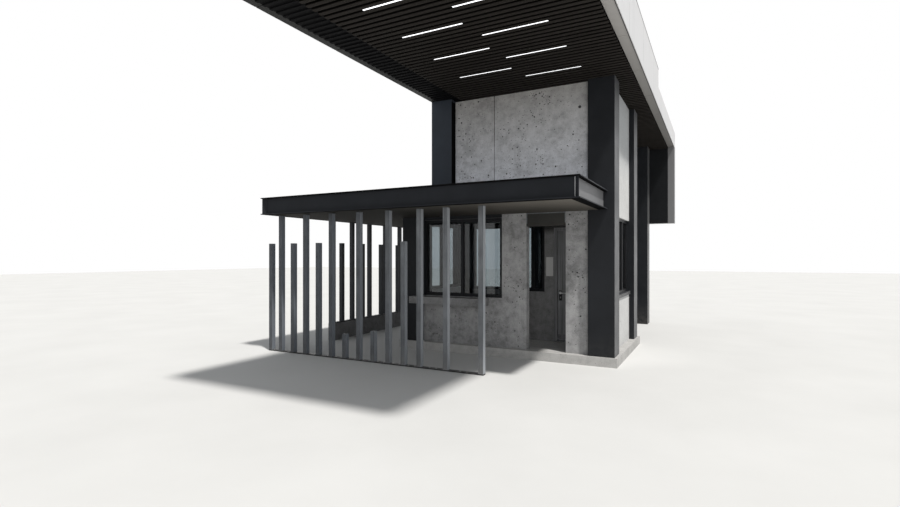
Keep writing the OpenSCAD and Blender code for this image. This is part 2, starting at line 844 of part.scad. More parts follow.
// Slats across the roof on one backing board, cut out round the right columns
module slatted_soffit() color("#1f1d1b") difference() {
    translate([slats_x, 0, 0]) rotate([90, 0, 90]) linear_extrude(slats_end - slats_x)
        polygon(comb_section());
    for (c = [[right_in, front_y], [right_in, rear_in], [rear_column_x, rear_column_y]])
        slab([c.x - slat_gap, c.y - slat_gap, roof_z - cut],
            [c.x + column_w + slat_gap, c.y + column_w + slat_gap, right_girder_z + cut]);
}

// Light strips between the slats, in two staggered lines
module light_strips() color("white") {
    right_start = right_x - light_right - light_l;
    left_start = right_start - light_between - light_l;
    for (i = [0 : light_rows - 1], line = [0, 1]) {
        gap = light_first + i*light_step + (line == 0 ? light_step/2 : 0);
        y = slats_y + gap*slat_pitch + slat_w + (slat_pitch - slat_w - light_w)/2;
        x = line == 0 ? right_start : left_start;
        slab([x, y, board_z - light_d], [x + light_l, y + light_w, board_z]);
    }
}

// Boxed edges, level with the backing board so that the slats stand proud of them
module side_edge(x, width) {
    difference() {
        slab([x, roof_y, board_z], [x + width, roof_back, roof_top]);
        slab([x + edge_t, roof_y + edge_t, board_z + edge_t],
            [x + width - edge_t, roof_back - edge_t, roof_top - edge_t]);
    }
}

module end_edge(y) {
    difference() {
        slab([girder_x, y, board_z], [slats_end, y + edge_w, roof_top]);
        slab([girder_x - cut, y + edge_t, board_z + edge_t],
            [slats_end + cut, y + edge_w - edge_t, roof_top - edge_t]);
    }
}

module side_fascias() color(white_panel) {
    side_edge(roof_x, left_edge_w);
    side_edge(slats_end, edge_w);
}

module end_fascias() color(white_panel) {
    end_edge(roof_y);
    end_edge(roof_back - edge_w);
}

module raised_edge() color(white_panel) difference() {
    slab([slats_end, roof_y, roof_top], [roof_end, roof_y + parapet_l, roof_top + parapet_h]);
    slab([slats_end + edge_t, roof_y + edge_t, roof_top - cut],
        [roof_end - edge_t, roof_y + parapet_l - edge_t, roof_top + parapet_h - edge_t]);
}

// Drop panel at the rear end: the boxed side edges turn down round a dark lining
module return_shell() color(white_panel) difference() {
    slab([roof_x, return_y, return_z], [roof_end, roof_back, board_z]);
    slab([roof_x + edge_t, return_y + edge_t, return_z + edge_t],
        [roof_end - edge_t, roof_back - edge_t, board_z - edge_t]);
    slab([girder_x, return_y - cut, return_z - cut], [slats_end, return_y + edge_t, board_z + cut]);
}

module return_lining() color(steel)
    slab([girder_x, return_y, return_z], [slats_end, return_y + edge_t, board_z]);

plinth();
floor_finish();
booth_columns();
upper_columns();
rear_columns();
transfer_beams();
tie_beams();
ceiling_board();
front_dado();
front_piers();
entrance_header();
window_heads();
counter_shelf();
side_dados();
rear_dado();
rear_wall();
vestibule_dado();
vestibule_wall();
door_header();
sill_flashings();
front_window_frame();
side_window_frames();
rear_window_frame();
vestibule_window_frame();
window_glass();
door_frame();
door_leaf();
door_handles();
front_upper_panels();
rear_upper_panels();
right_upper_panel();
left_upper_panel();
canopy_front_beam();
canopy_side_beams();
canopy_rear_beam();
canopy_soffit();
canopy_deck();
post_rail();
front_tall_posts();
front_short_posts();
screen_wall();
screen_rail();
screen_tall_posts();
screen_short_posts();
roof_girders();
roof_deck();
slatted_soffit();
light_strips();
side_fascias();
end_fascias();
raised_edge();
return_shell();
return_lining();
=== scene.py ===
"""Looks of the guard booth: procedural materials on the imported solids, and the fine detail
that the solids leave out. Everything is in metres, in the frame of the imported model."""

import json
import math
import random

import bmesh
import bpy
from mathutils import Matrix, Vector

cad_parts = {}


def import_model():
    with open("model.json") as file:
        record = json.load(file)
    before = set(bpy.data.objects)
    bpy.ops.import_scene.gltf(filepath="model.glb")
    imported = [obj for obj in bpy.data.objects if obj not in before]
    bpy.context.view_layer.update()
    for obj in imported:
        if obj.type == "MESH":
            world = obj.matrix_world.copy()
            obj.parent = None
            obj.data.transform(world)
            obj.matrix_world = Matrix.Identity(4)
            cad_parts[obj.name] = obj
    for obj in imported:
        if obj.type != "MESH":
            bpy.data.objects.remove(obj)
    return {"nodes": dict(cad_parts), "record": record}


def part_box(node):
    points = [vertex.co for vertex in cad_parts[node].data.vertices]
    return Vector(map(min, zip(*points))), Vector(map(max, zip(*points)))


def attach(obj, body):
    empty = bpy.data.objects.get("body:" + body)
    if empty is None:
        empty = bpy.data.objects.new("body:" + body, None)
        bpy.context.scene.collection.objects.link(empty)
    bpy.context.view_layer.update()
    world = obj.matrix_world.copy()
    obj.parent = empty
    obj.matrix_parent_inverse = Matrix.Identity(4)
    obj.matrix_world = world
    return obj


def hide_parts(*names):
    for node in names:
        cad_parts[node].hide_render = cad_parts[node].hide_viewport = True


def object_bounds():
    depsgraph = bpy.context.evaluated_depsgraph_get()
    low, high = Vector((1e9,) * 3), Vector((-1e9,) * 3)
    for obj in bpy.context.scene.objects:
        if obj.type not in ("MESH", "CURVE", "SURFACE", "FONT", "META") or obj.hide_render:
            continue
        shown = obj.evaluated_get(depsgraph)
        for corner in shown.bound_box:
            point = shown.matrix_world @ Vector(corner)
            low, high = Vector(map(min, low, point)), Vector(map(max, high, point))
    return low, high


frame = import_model()
CAD_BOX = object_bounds()
NODES = frame["nodes"]
ROOT, DOOR = "booth", "door"
X, Y, Z = 0, 1, 2


# ---------------------------------------------------------------- materials

class Shader:
    """One principled shader and the nodes that vary it over the surface."""

    def __init__(self, name, **sockets):
        self.mat = bpy.data.materials.new(name)
        self.mat.use_nodes = True
        self.tree = self.mat.node_tree
        self.bsdf = self.tree.nodes["Principled BSDF"]
        for key, value in sockets.items():
            self.bsdf.inputs[key.replace("_", " ")].default_value = value
        self.place = self.node("ShaderNodeTexCoord").outputs["Object"]

    def node(self, kind, inputs=None, **settings):
        made = self.tree.nodes.new(kind)
        for key, value in settings.items():
            setattr(made, key, value)
        for key, value in (inputs or {}).items():
            if isinstance(value, bpy.types.NodeSocket):
                self.tree.links.new(value, made.inputs[key])
            else:
                made.inputs[key].default_value = value
        return made

    def stretch(self, x, y, z):
        """The place scaled unevenly, which draws a noise out into streaks or grain."""
        return self.node("ShaderNodeMapping", {"Vector": self.place, "Scale": (x, y, z)}).outputs[0]

    def noise(self, scale, detail=4.0, rough=0.55, place=None):
        ins = {"Vector": place or self.place, "Scale": scale, "Detail": detail, "Roughness": rough}
        return self.node("ShaderNodeTexNoise", ins).outputs["Fac"]

    def calc(self, operation, *values):
        return self.node("ShaderNodeMath", dict(enumerate(values)), operation=operation).outputs[0]

    def spread(self, value, low, high, start=0.0, end=1.0):
        """Turns low to high into start to end, clamped."""
        ins = {"Value": value, "From Min": low, "From Max": high, "To Min": start, "To Max": end}
        return self.node("ShaderNodeMapRange", ins).outputs[0]

    def ramp(self, value, *stops):
        made = self.node("ShaderNodeValToRGB", {"Fac": value})
        marks = made.color_ramp.elements
        while len(marks) < len(stops):
            marks.new(0.5)
        for mark, (where, colour) in zip(marks, stops):
            mark.position = where
            mark.color = (*colour, 1.0)
        return made.outputs["Color"]

    def mix(self, factor, a, b, mode="MIX"):
        made = self.node("ShaderNodeMix", data_type="RGBA", blend_type=mode)
        for index, value in ((0, factor), (6, a), (7, b)):
            if isinstance(value, bpy.types.NodeSocket):
                self.tree.links.new(value, made.inputs[index])
            else:
                made.inputs[index].default_value = (*value, 1.0) if index else value
        return made.outputs[2]

    def tint(self, part, base, factor):
        """The base times a colour factor, as far as part says."""
        return self.mix(part, base, self.mix(1.0, base, factor, "MULTIPLY"))

    def along(self, axis):
        return self.node("ShaderNodeSeparateXYZ", {"Vector": self.place}).outputs[axis]

    def drive(self, socket, value):
        self.tree.links.new(value, self.bsdf.inputs[socket])

    def colour(self, value):
        self.drive("Base Color", value)

    def rough(self, value, low, high):
        self.drive("Roughness", self.spread(value, 0.35, 0.65, low, high))

    def bump(self, value, distance, strength=1.0):
        ins = {"Height": value, "Distance": distance, "Strength": strength}
        if self.bsdf.inputs["Normal"].is_linked:
            ins["Normal"] = self.bsdf.inputs["Normal"].links[0].from_socket
        self.drive("Normal", self.node("ShaderNodeBump", ins).outputs[0])


def shade(colour, factor):
    return tuple(min(1.0, c * factor) for c in colour)


def pits(s, scale, radius, share, clumps):
    """Mask of small round holes: one in each chosen cell, more of them where clumps is high."""
    cells = s.node("ShaderNodeTexVoronoi", {"Vector": s.place, "Scale": scale})
    chance = s.node("ShaderNodeSeparateColor", {"Color": cells.outputs["Color"]})
    level = s.calc("MULTIPLY", s.spread(clumps, 0.40, 0.62, 0.25, 1.6), share)
    chosen = s.calc("LESS_THAN", chance.outputs[0], level)
    size = s.spread(chance.outputs[1], 0.0, 1.0, radius * 0.45, radius)
    inside = s.calc("LESS_THAN", cells.outputs["Distance"], size)
    return s.calc("MULTIPLY", chosen, inside)


def concrete(name, colour, contrast, holes, damp=0.0, painted_light_and_shade_by_height=None):
    """Cast concrete: clouds, mottling, runs, grit and small holes darkened as painted shade. Damp darkens its
    foot.
    A (low Z, high Z, factor below, factor above) band paints light and shade into it by height."""
    s = Shader(name, Roughness=0.86, Specular_IOR_Level=0.3)
    cloud = s.noise(1.15, 6.0, 0.6)
    mottle = s.noise(9.0, 6.0, 0.68)
    runs = s.noise(1.0, 5.0, 0.62, s.stretch(17.0, 17.0, 1.5))
    speck = s.noise(85.0, 3.0, 0.6)
    tone = s.calc("MULTIPLY_ADD", cloud, 0.38, s.calc("MULTIPLY", mottle, 0.54))
    tone = s.calc("MULTIPLY_ADD", runs, 0.08, tone)
    k = 0.30 * contrast
    base = s.ramp(tone, (0.41, shade(colour, 1 - k)), (0.475, shade(colour, 1 - k * 0.25)),
                  (0.525, shade(colour, 1 + k * 0.2)), (0.60, shade(colour, 1 + k * 0.8)))
    base = s.mix(s.spread(speck, 0.56, 0.70, 0.0, 0.50), base, shade(colour, 1.5))
    base = s.mix(s.spread(speck, 0.44, 0.32, 0.0, 0.45), base, shade(colour, 0.55))
    fleck = pits(s, 43.0, 0.17, 0.16 * holes, cloud)
    base = s.mix(s.calc("MULTIPLY", fleck, 0.55), base, shade(colour, 1.6))
    # painted light and shade by height, such as the roof's shadow and the brighter light below it
    if painted_light_and_shade_by_height:
        low, high, below, above = painted_light_and_shade_by_height
        part = s.spread(s.along(Z), low, high)
        base = s.tint(s.calc("SUBTRACT", 1.0, part), base, below)
        base = s.tint(part, base, above)
    # painted shade: the pits and the faces marked inside the modelled holes are darkened nearly to black
    small = pits(s, 30.0, 0.18, 0.30 * holes, mottle)
    large = pits(s, 9.0, 0.10, 0.12 * holes, cloud)
    hole = s.calc("MAXIMUM", small, large)
    modelled = s.node("ShaderNodeAttribute", attribute_name="pit").outputs["Fac"]
    dark = s.calc("MAXIMUM", s.calc("MULTIPLY", hole, 0.75), s.calc("MULTIPLY", modelled, 0.95))
    base = s.mix(dark, base, shade(colour, 0.12))
    if damp:
        low = s.spread(s.along(Z), 0.0, 0.38, damp, 0.0)
        low = s.calc("MULTIPLY", low, s.spread(runs, 0.35, 0.6, 0.4, 1.0))
        base = s.mix(low, base, shade(colour, 0.55))
    s.colour(base)
    s.rough(mottle, 0.76, 0.94)
    s.bump(s.calc("MULTIPLY_ADD", mottle, 0.5, s.calc("MULTIPLY", speck, 0.35)), 0.0022)
    s.bump(s.calc("SUBTRACT", 1.0, hole), 0.004)
    return s.mat


def paint_sun_and_shade(s, base, colour, sunlit_gain):
    """Painted sunlight: lighter on faces turned to the right. Painted shade: dark on faces turned down."""
    normal = s.node("ShaderNodeNewGeometry").outputs["True Normal"]
    facing = s.node("ShaderNodeSeparateXYZ", {"Vector": normal}).outputs
    base = s.mix(s.spread(facing[X], 0.6, 0.95), base, shade(colour, sunlit_gain))
    below = s.spread(facing[Z], -0.6, -0.95)
    return s.mix(below, base, shade(colour, 0.15)), below


def paint(name, colour, rough, vary=0.14, peel=0.00025, dust=0.0, streaks=0.0, shine=0.12, sheen=0.0,
          sunlit_gain=0.0):
    """Coated metal with orange peel, scuffs, rain streaks and dust at its foot; when asked, painted sunlight
    on its right side and painted shade underneath.
    """
    s = Shader(name, Roughness=rough, Specular_IOR_Level=shine, Sheen_Weight=sheen, Sheen_Roughness=0.35)
    cloud = s.noise(2.1, 5.0, 0.6)
    fine = s.noise(330.0, 2.0)
    base = s.ramp(cloud, (0.34, shade(colour, 1 - vary)), (0.66, shade(colour, 1 + vary)))
    if streaks:
        run = s.noise(1.0, 5.0, 0.6, s.stretch(22.0, 22.0, 0.7))
        base = s.mix(s.spread(run, 0.42, 0.64, 0.0, streaks), base, shade(colour, 1.9))
        base = s.mix(s.spread(run, 0.46, 0.34, 0.0, streaks), base, shade(colour, 0.5))
    if dust:
        low = s.spread(s.along(Z), 0.0, 0.55, dust, 0.0)
        low = s.calc("MULTIPLY", low, s.spread(s.noise(14.0, 5.0, 0.65), 0.35, 0.62, 0.2, 1.0))
        base = s.mix(low, base, (0.30, 0.28, 0.25))
    scuff = s.noise(38.0, 6.0, 0.75)
    base = s.mix(s.spread(scuff, 0.66, 0.74, 0.0, 0.25), base, shade(colour, 1.8))
    gloss = s.spread(cloud, 0.35, 0.65, rough - 0.06, rough + 0.08)
    # painted sunlight on the right-facing side and painted shade on the undersides
    if sunlit_gain:
        base, below = paint_sun_and_shade(s, base, colour, sunlit_gain)
        gloss = s.calc("MAXIMUM", gloss, s.calc("MULTIPLY", below, 0.95))
    s.colour(base)
    s.drive("Roughness", gloss)
    s.bump(fine, peel)
    s.bump(cloud, 0.0015, 0.5)
    return s.mat


def galvanised(name, colour, sunlit_gain=0.0, painted_shade_ramp=None):
    """Grey coat on zinc: soft mottling, long runs down the post and grit at its foot. Painted sunlight on its
    right side and painted shade underneath if asked, and painted shade to the left by (darkest X, brightest
    X, factor)."""
    s = Shader(name, Roughness=0.5, Specular_IOR_Level=0.2)
    flake = s.node("ShaderNodeTexVoronoi", {"Vector": s.place, "Scale": 85.0}).outputs["Color"]
    tone = s.node("ShaderNodeSeparateColor", {"Color": flake}).outputs[0]
    run = s.noise(1.0, 5.0, 0.65, s.stretch(34.0, 34.0, 1.1))
    cloud = s.noise(3.0, 5.0, 0.6)
    base = s.ramp(cloud, (0.35, shade(colour, 0.74)), (0.65, shade(colour, 1.20)))
    base = s.mix(s.spread(tone, 0.0, 1.0, 0.0, 0.16), base, shade(colour, 1.4))
    base = s.mix(s.spread(run, 0.50, 0.66, 0.0, 0.60), base, shade(colour, 0.55))
    low = s.spread(s.along(Z), 0.0, 0.35, 0.5, 0.0)
    base = s.mix(s.calc("MULTIPLY", low, cloud), base, (0.26, 0.24, 0.21))
    # painted sunlight on the right-facing side and painted shade underneath
    if sunlit_gain:
        base = paint_sun_and_shade(s, base, colour, sunlit_gain)[0]
    # painted shade: darker towards the left
    if painted_shade_ramp:
        left, right, factor = painted_shade_ramp
        base = s.tint(s.spread(s.along(X), right, left), base, factor)
    s.colour(base)
    s.rough(run, 0.38, 0.58)
    s.bump(tone, 0.00015)
    s.bump(run, 0.0008, 0.6)
    return s.mat


def timber(name, colour):
    """Stained slats with grain that runs along X, and dark gaps between them."""
    s = Shader(name, Roughness=0.6, Specular_IOR_Level=0.02)
    grain = s.noise(1.0, 8.0, 0.72, s.stretch(2.2, 130.0, 130.0))
    board = s.noise(1.0, 2.0, 0.5, s.stretch(0.35, 9.5, 0.2))
    base = s.ramp(grain, (0.34, shade(colour, 0.62)), (0.50, colour), (0.68, shade(colour, 1.7)))
    base = s.mix(s.spread(board, 0.38, 0.62, 0.0, 0.5), base, shade(colour, 1.35))
    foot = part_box("slatted_soffit")[0].z
    base = s.mix(s.spread(s.along(Z), foot + 0.003, foot + 0.012), base, shade(colour, 0.14))
    s.colour(base)
    s.rough(grain, 0.52, 0.72)
    s.bump(grain, 0.0012)
    return s.mat


def panel(name, colour, rough=0.4, soil=0.16, shine=0.5, painted_shade_ramp=None):
    """Coated composite sheet with faint rain marks. Darker towards the rear as painted shade where a
    (brightest Y, darkest Y, factor) ramp says so."""
    s = Shader(name, Roughness=rough, Specular_IOR_Level=shine)
    run = s.noise(1.0, 6.0, 0.6, s.stretch(9.0, 9.0, 0.8))
    cloud = s.noise(0.8, 4.0, 0.55)
    base = s.ramp(cloud, (0.35, shade(colour, 0.965)), (0.65, shade(colour, 1.03)))
    base = s.mix(s.spread(run, 0.50, 0.72, 0.0, soil), base, shade(colour, 0.6))
    # painted shade: darker towards the rear
    if painted_shade_ramp:
        front, rear, factor = painted_shade_ramp
        base = s.tint(s.spread(s.along(Y), front, rear), base, factor)
    s.colour(base)
    s.rough(cloud, rough - 0.05, rough + 0.07)
    s.bump(cloud, 0.004, 0.5)
    s.bump(s.noise(260.0, 2.0), 0.0002)
    return s.mat


def glass(name):
    """Grey tinted float glass, a little uneven in tint and flatness."""
    s = Shader(name, Roughness=0.02, IOR=1.45, Transmission_Weight=1.0)
    s.colour(s.ramp(s.noise(1.6, 3.0), (0.35, (0.43, 0.47, 0.49)), (0.65, (0.47, 0.51, 0.53))))
    s.bump(s.noise(1.3, 2.0), 0.0001, 0.05)
    return s.mat


def brushed(name, colour, grain_scale=(2.0, 160.0, 160.0)):
    """Bare metal with a fine grain along X."""
    s = Shader(name, Roughness=0.3, Metallic=1.0)
    grain = s.noise(1.0, 5.0, 0.6, s.stretch(*grain_scale))
    s.colour(s.ramp(grain, (0.35, shade(colour, 0.86)), (0.65, shade(colour, 1.1))))
    s.rough(grain, 0.22, 0.42)
    s.bump(grain, 0.0001)
    return s.mat


def tiles(name, colour, size, joint, joint_colour, rough):
    """Square tiles or boards with sunk joints."""
    s = Shader(name, Roughness=rough)
    ins = {"Vector": s.place, "Scale": 1.0, "Mortar Size": joint, "Brick Width": size, "Row Height": size,
           "Color1": (*shade(colour, 0.93), 1), "Color2": (*shade(colour, 1.07), 1),
           "Mortar": (*joint_colour, 1), "Mortar Smooth": 0.1}
    lay = s.node("ShaderNodeTexBrick", ins, offset=0.0)
    mottle = s.noise(24.0, 5.0, 0.65)
    spots = s.mix(s.spread(mottle, 0.40, 0.66, 0.0, 0.3), lay.outputs["Color"], shade(colour, 0.7))
    s.colour(spots)
    s.rough(mottle, rough - 0.12, rough + 0.1)
    s.bump(s.calc("SUBTRACT", 1.0, lay.outputs["Fac"]), 0.002)
    s.bump(mottle, 0.0006)
    return s.mat


def board(name, colour):
    """Painted board with roller texture, paler towards the canopy's open right front corner: painted bounce
    light from sunlit ground.
    """
    s = Shader(name, Roughness=0.8, Specular_IOR_Level=0.1)
    cloud = s.noise(1.4, 5.0, 0.6)
    nap = s.noise(120.0, 4.0, 0.6)
    base = s.ramp(cloud, (0.35, shade(colour, 0.88)), (0.65, shade(colour, 1.1)))
    # painted light: bounce from sunlit ground towards the open right front corner
    to_front = s.spread(s.along(Y), -1.6, -3.0, 0.45, 1.0)
    painted_bounce_light = s.calc("MULTIPLY", s.spread(s.along(X), -1.5, 1.75), to_front)
    base = s.mix(painted_bounce_light, base, shade(colour, 10.8))
    s.colour(s.mix(s.spread(nap, 0.35, 0.65, 0.0, 0.16), base, shade(colour, 0.75)))
    s.rough(nap, 0.72, 0.9)
    s.bump(nap, 0.0008)
    return s.mat


def membrane(name, colour):
    """Weathered roof sheet with grit."""
    s = Shader(name, Roughness=0.75)
    cloud = s.noise(0.9, 6.0, 0.62)
    grit = s.noise(150.0, 3.0, 0.6)
    base = s.ramp(cloud, (0.34, shade(colour, 0.8)), (0.66, shade(colour, 1.15)))
    s.colour(s.mix(s.spread(grit, 0.4, 0.6, 0.0, 0.3), base, shade(colour, 0.7)))
    s.rough(cloud, 0.62, 0.86)
    s.bump(grit, 0.0012)
    return s.mat


def lamp(name):
    """Lit diffuser with fine ribs."""
    s = Shader(name, Roughness=0.5, Emission_Color=(0.97, 0.98, 1.0, 1.0), Emission_Strength=1.7)
    rib = s.node("ShaderNodeTexWave", {"Vector": s.place, "Scale": 60.0, "Distortion": 0.4}).outputs["Fac"]
    s.colour(s.ramp(rib, (0.2, (0.86, 0.88, 0.92)), (0.8, (0.96, 0.97, 1.0))))
    s.bump(rib, 0.0003)
    return s.mat


SAME = (1.0, 1.0, 1.0)
STEEL = (0.015, 0.0163, 0.0190)
CONCRETE = (0.290, 0.289, 0.291)
WHITE = (0.72, 0.72, 0.715)
MAT = {
    "plinth_concrete": concrete("plinth_concrete", (0.42, 0.414, 0.403), 0.5, 0.4, damp=0.05),
    "wall_concrete": concrete("wall_concrete", CONCRETE, 1.15, 1.0),
    "side_concrete": concrete("side_concrete", (0.56, 0.562, 0.558), 0.25, 0.1),
    "dark_steel": paint("dark_steel", STEEL, 0.42, 0.12, dust=0.14, sheen=0.15),
    "header_panel": paint("header_panel", (0.040, 0.0395, 0.037), 0.4),
    # posts: painted sunlight on their right sides, painted shade darkening them towards the left
    "post_steel": galvanised("post_steel", (0.146, 0.154, 0.165), 2.5,
                             painted_shade_ramp=(-2.6, -0.4, (0.52, 0.54, 0.57))),
    "window_frame": paint("window_frame", (0.014, 0.015, 0.017), 0.36, 0.1, 0.0001),
    "window_glass": glass("window_glass"),
    "door_steel": paint("door_steel", (0.165, 0.167, 0.172), 0.38, 0.16, streaks=0.7, shine=0.3),
    "handle_steel": brushed("handle_steel", (0.62, 0.63, 0.64)),
    "ceiling_board": tiles("ceiling_board", (0.56, 0.55, 0.53), 0.6, 0.004, (0.30, 0.29, 0.28), 0.85),
    "floor_tile": tiles("floor_tile", (0.30, 0.29, 0.28), 0.3, 0.004, (0.15, 0.145, 0.14), 0.55),
    "canopy_board": board("canopy_board", (0.017, 0.0158, 0.0139)),
    "roof_sheet": membrane("roof_sheet", (0.42, 0.43, 0.45)),
    "soffit_slats": timber("soffit_slats", (0.024, 0.0215, 0.0195)),
    "light_strip": lamp("light_strip"),
    "white_panel": panel("white_panel", WHITE),
}
RUBBER = paint("gasket_rubber", (0.012, 0.012, 0.013), 0.7, 0.2, 0.0004)
# painted shade: the right roof edge's box is a grey copy of its white, darker towards the rear, for the shade
# underneath
EDGE_UNDER_SHADED = panel("edge_under_painted_shade", (0.40, 0.385, 0.37), 0.5, painted_shade_ramp=(-2.9, 1.2, (0.53, 0.53, 0.53)))
EDGE_WHITE = panel("edge_white", (0.59, 0.59, 0.598))
EDGE_END = panel("edge_end", (0.47, 0.47, 0.475))
# painted shade: grey for the return shell's white, whose front strips stand in shade; also the raised edge's
# grey capping
RETURN_GREY = panel("return_grey", (0.185, 0.185, 0.190), 0.5, 0.3)
# painted light and shade: lighter and bluer low down, darker up under the roof that shades it
UPPER = concrete("upper_concrete", (0.43, 0.430, 0.434), 0.9, 1.6,
                 painted_light_and_shade_by_height=(2.85, 4.60, (1.72, 1.77, 1.88), (0.78, 0.762, 0.735)))
EDGE_DARK = panel("edge_dark", (0.022, 0.0225, 0.022), 0.45, 0.3, shine=0.1)
# painted shade: near-black steel for the girders and battens in the roof's deep shade, and sheets in shaded
# gaps and edges
PAINTED_SHADE_STEEL = paint("painted_shade_steel", (0.006, 0.006, 0.0065), 0.6, 0.2, shine=0.03)
LINING = paint("lining_steel", (0.012, 0.013, 0.0145), 0.45, 0.15, shine=0.08)
SCREEN_STEEL = galvanised("screen_steel", (0.030, 0.033, 0.039))
# painted sunlight on right-facing faces (not on the front and rear beams) and painted shade on undersides
SIDE_BEAM = paint("side_beam_steel", STEEL, 0.42, 0.12, shine=0.05, sunlit_gain=2.2)
FRONT_BEAM = paint("front_beam_steel", shade(STEEL, 1.35), 0.42, 0.12, shine=0.06, sunlit_gain=1.0)
COLUMN = paint("column_steel", STEEL, 0.42, 0.12, dust=0.05, sheen=0.13, sunlit_gain=2.1)
# painted reflection: the blue tint stands for the sky mirrored in the upper columns' paint
UPPER_COLUMN_SKY = paint("upper_column_painted_sky", (0.032, 0.039, 0.050), 0.42, 0.12, sheen=0.15)
# painted shadow: the roof edge's shadow darkens the side panels' upper part
UPPER_SIDE = concrete("upper_side_concrete", (0.58, 0.582, 0.578), 0.25, 0.1,
                      painted_light_and_shade_by_height=(3.15, 3.75, SAME, (0.76, 0.78, 0.80)))
# painted sunlight: a light grey for the sun on the canopy's right web
SUNLIT_WEB = paint("beam_web_painted_sunlight", (0.172, 0.174, 0.181), 0.45, 0.08)
# partly the screen wall's own darker tone, partly painted shade
SCREEN_CONCRETE = concrete("screen_concrete", (0.15, 0.15, 0.152), 1.0, 1.0)
# painted shade: a darker copy of the wall concrete for the counter under the canopy
COUNTER_SHADED = concrete("counter_painted_shade_concrete", shade(CONCRETE, 0.72), 1.0, 0.8)
# painted shade: a darker copy of the wall concrete inside the entrance, with a painted shadow band at its top
INNER_SHADED = concrete("inner_painted_shade_concrete", shade(CONCRETE, 0.64), 1.0, 0.6,
                 painted_light_and_shade_by_height=(2.18, 2.29, SAME, (0.26, 0.255, 0.25)))
HEADER_EDGE = paint("header_edge", (0.047, 0.0455, 0.042), 0.5, shine=0.05)
# painted highlight: a pale strip on the canopy's corner edge
CORNER_HIGHLIGHT = galvanised("corner_painted_highlight", (0.55, 0.56, 0.57))
KICK = brushed("kick_plate", (0.16, 0.16, 0.17))
BOLT = brushed("bolt_zinc", (0.42, 0.42, 0.41), (90.0, 90.0, 90.0))
PLATE = panel("notice_blank", (0.52, 0.52, 0.51), 0.5, 0.3)


# ---------------------------------------------------------------- mesh helpers

# a thin sheet starts this far off what it lies on, and ends this far off it
SKIN, SHEET = 0.0002, 0.0016
# vertices this close are the same one
MERGE = 1e-5


def put(name, data):
    obj = bpy.data.objects.new(name, data)
    bpy.context.scene.collection.objects.link(obj)
    return obj


def give(obj, material, body=ROOT):
    """The material and body of a new piece."""
    obj.data.materials.clear()
    obj.data.materials.append(material)
    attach(obj, body)
    return obj


def bm_object(name, bm):
    data = bpy.data.meshes.new(name)
    bmesh.ops.recalc_face_normals(bm, faces=bm.faces)
    bm.to_mesh(data)
    bm.free()
    return put(name, data)


def soften(obj, width, segments=2, angle=40):
    """Rounds the edges: no real edge is sharp."""
    mod = obj.modifiers.new("edges", "BEVEL")
    mod.width = width
    mod.segments = segments
    mod.limit_method = "ANGLE"
    mod.angle_limit = math.radians(angle)
    mod.use_clamp_overlap = True
    return obj


def smooth(obj, angle):
    obj.data.polygons.foreach_set("use_smooth", [True] * len(obj.data.polygons))
    obj.data.set_sharp_from_angle(angle=math.radians(angle))
    return obj


def add_box(bm, lo, hi):
    corners = [bm.verts.new((x, y, z))
               for z in (lo[2], hi[2]) for y in (lo[1], hi[1]) for x in (lo[0], hi[0])]
    for face in ((0, 2, 3, 1), (4, 5, 7, 6), (0, 1, 5, 4), (2, 6, 7, 3), (0, 4, 6, 2), (1, 3, 7, 5)):
        bm.faces.new([corners[i] for i in face])


def box_piece(name, pairs, material, body=ROOT, edge=0.0, segments=2):
    """Boxes, each given by its lowest and highest corner, as one finished piece."""
    bm = bmesh.new()
    for lo, hi in pairs:
        add_box(bm, lo, hi)
    obj = give(bm_object(name, bm), material, body)
    return soften(obj, edge, segments) if edge else obj


def rim(lo, hi, inside, outside, low, high):
    """Four boxes round a level rectangle, from inside to outside away from it."""
    return [((lo[0] - outside, lo[1] - outside, low), (hi[0] + outside, lo[1] - inside, high)),
            ((lo[0] - outside, hi[1] + inside, low), (hi[0] + outside, hi[1] + outside, high)),
            ((lo[0] - outside, lo[1] - inside, low), (lo[0] - inside, hi[1] + inside, high)),
            ((hi[0] + inside, lo[1] - inside, low), (hi[0] + outside, hi[1] + inside, high))]


def islands(node):
    """The box of each solid of a CAD node, as (lowest, highest) corners; cavities are left out."""
    bm = bmesh.new()
    bm.from_mesh(NODES[node].data)
    bmesh.ops.remove_doubles(bm, verts=bm.verts, dist=MERGE)
    seen, found = set(), []
    for start in bm.verts:
        if start in seen:
            continue
        group, todo = [], [start]
        seen.add(start)
        while todo:
            v = todo.pop()
            group.append(v.co)
            for e in v.link_edges:
                w = e.other_vert(v)
                if w not in seen:
                    seen.add(w)
                    todo.append(w)
        found.append((Vector([min(c[i] for c in group) for i in range(3)]),
                      Vector([max(c[i] for c in group) for i in range(3)])))
    bm.free()
    outer = [p for p in found if not any(
        q is not p and all(q[0][i] < p[0][i] and p[1][i] < q[1][i] for i in range(3)) for q in found)]
    return sorted(outer, key=lambda p: tuple(round(c, 4) for c in (*p[0], *p[1])))


def loft(bm, axis, stations, lo, hi):
    """Closed box section along an axis; each station is (position, how far its ring is drawn in)."""
    a, b = [i for i in range(3) if i != axis]
    rings = []
    for place, inset in stations:
        ring = []
        for u, v in ((lo[a] + inset, lo[b] + inset), (hi[a] - inset, lo[b] + inset),
                     (hi[a] - inset, hi[b] - inset), (lo[a] + inset, hi[b] - inset)):
            co = [0.0, 0.0, 0.0]
            co[axis], co[a], co[b] = place, u, v
            ring.append(bm.verts.new(co))
        rings.append(ring)
    for p, q in zip(rings, rings[1:]):
        for i in range(4):
            bm.faces.new((p[i], p[(i + 1) % 4], q[(i + 1) % 4], q[i]))
    bm.faces.new(rings[0])
    bm.faces.new(rings[-1])


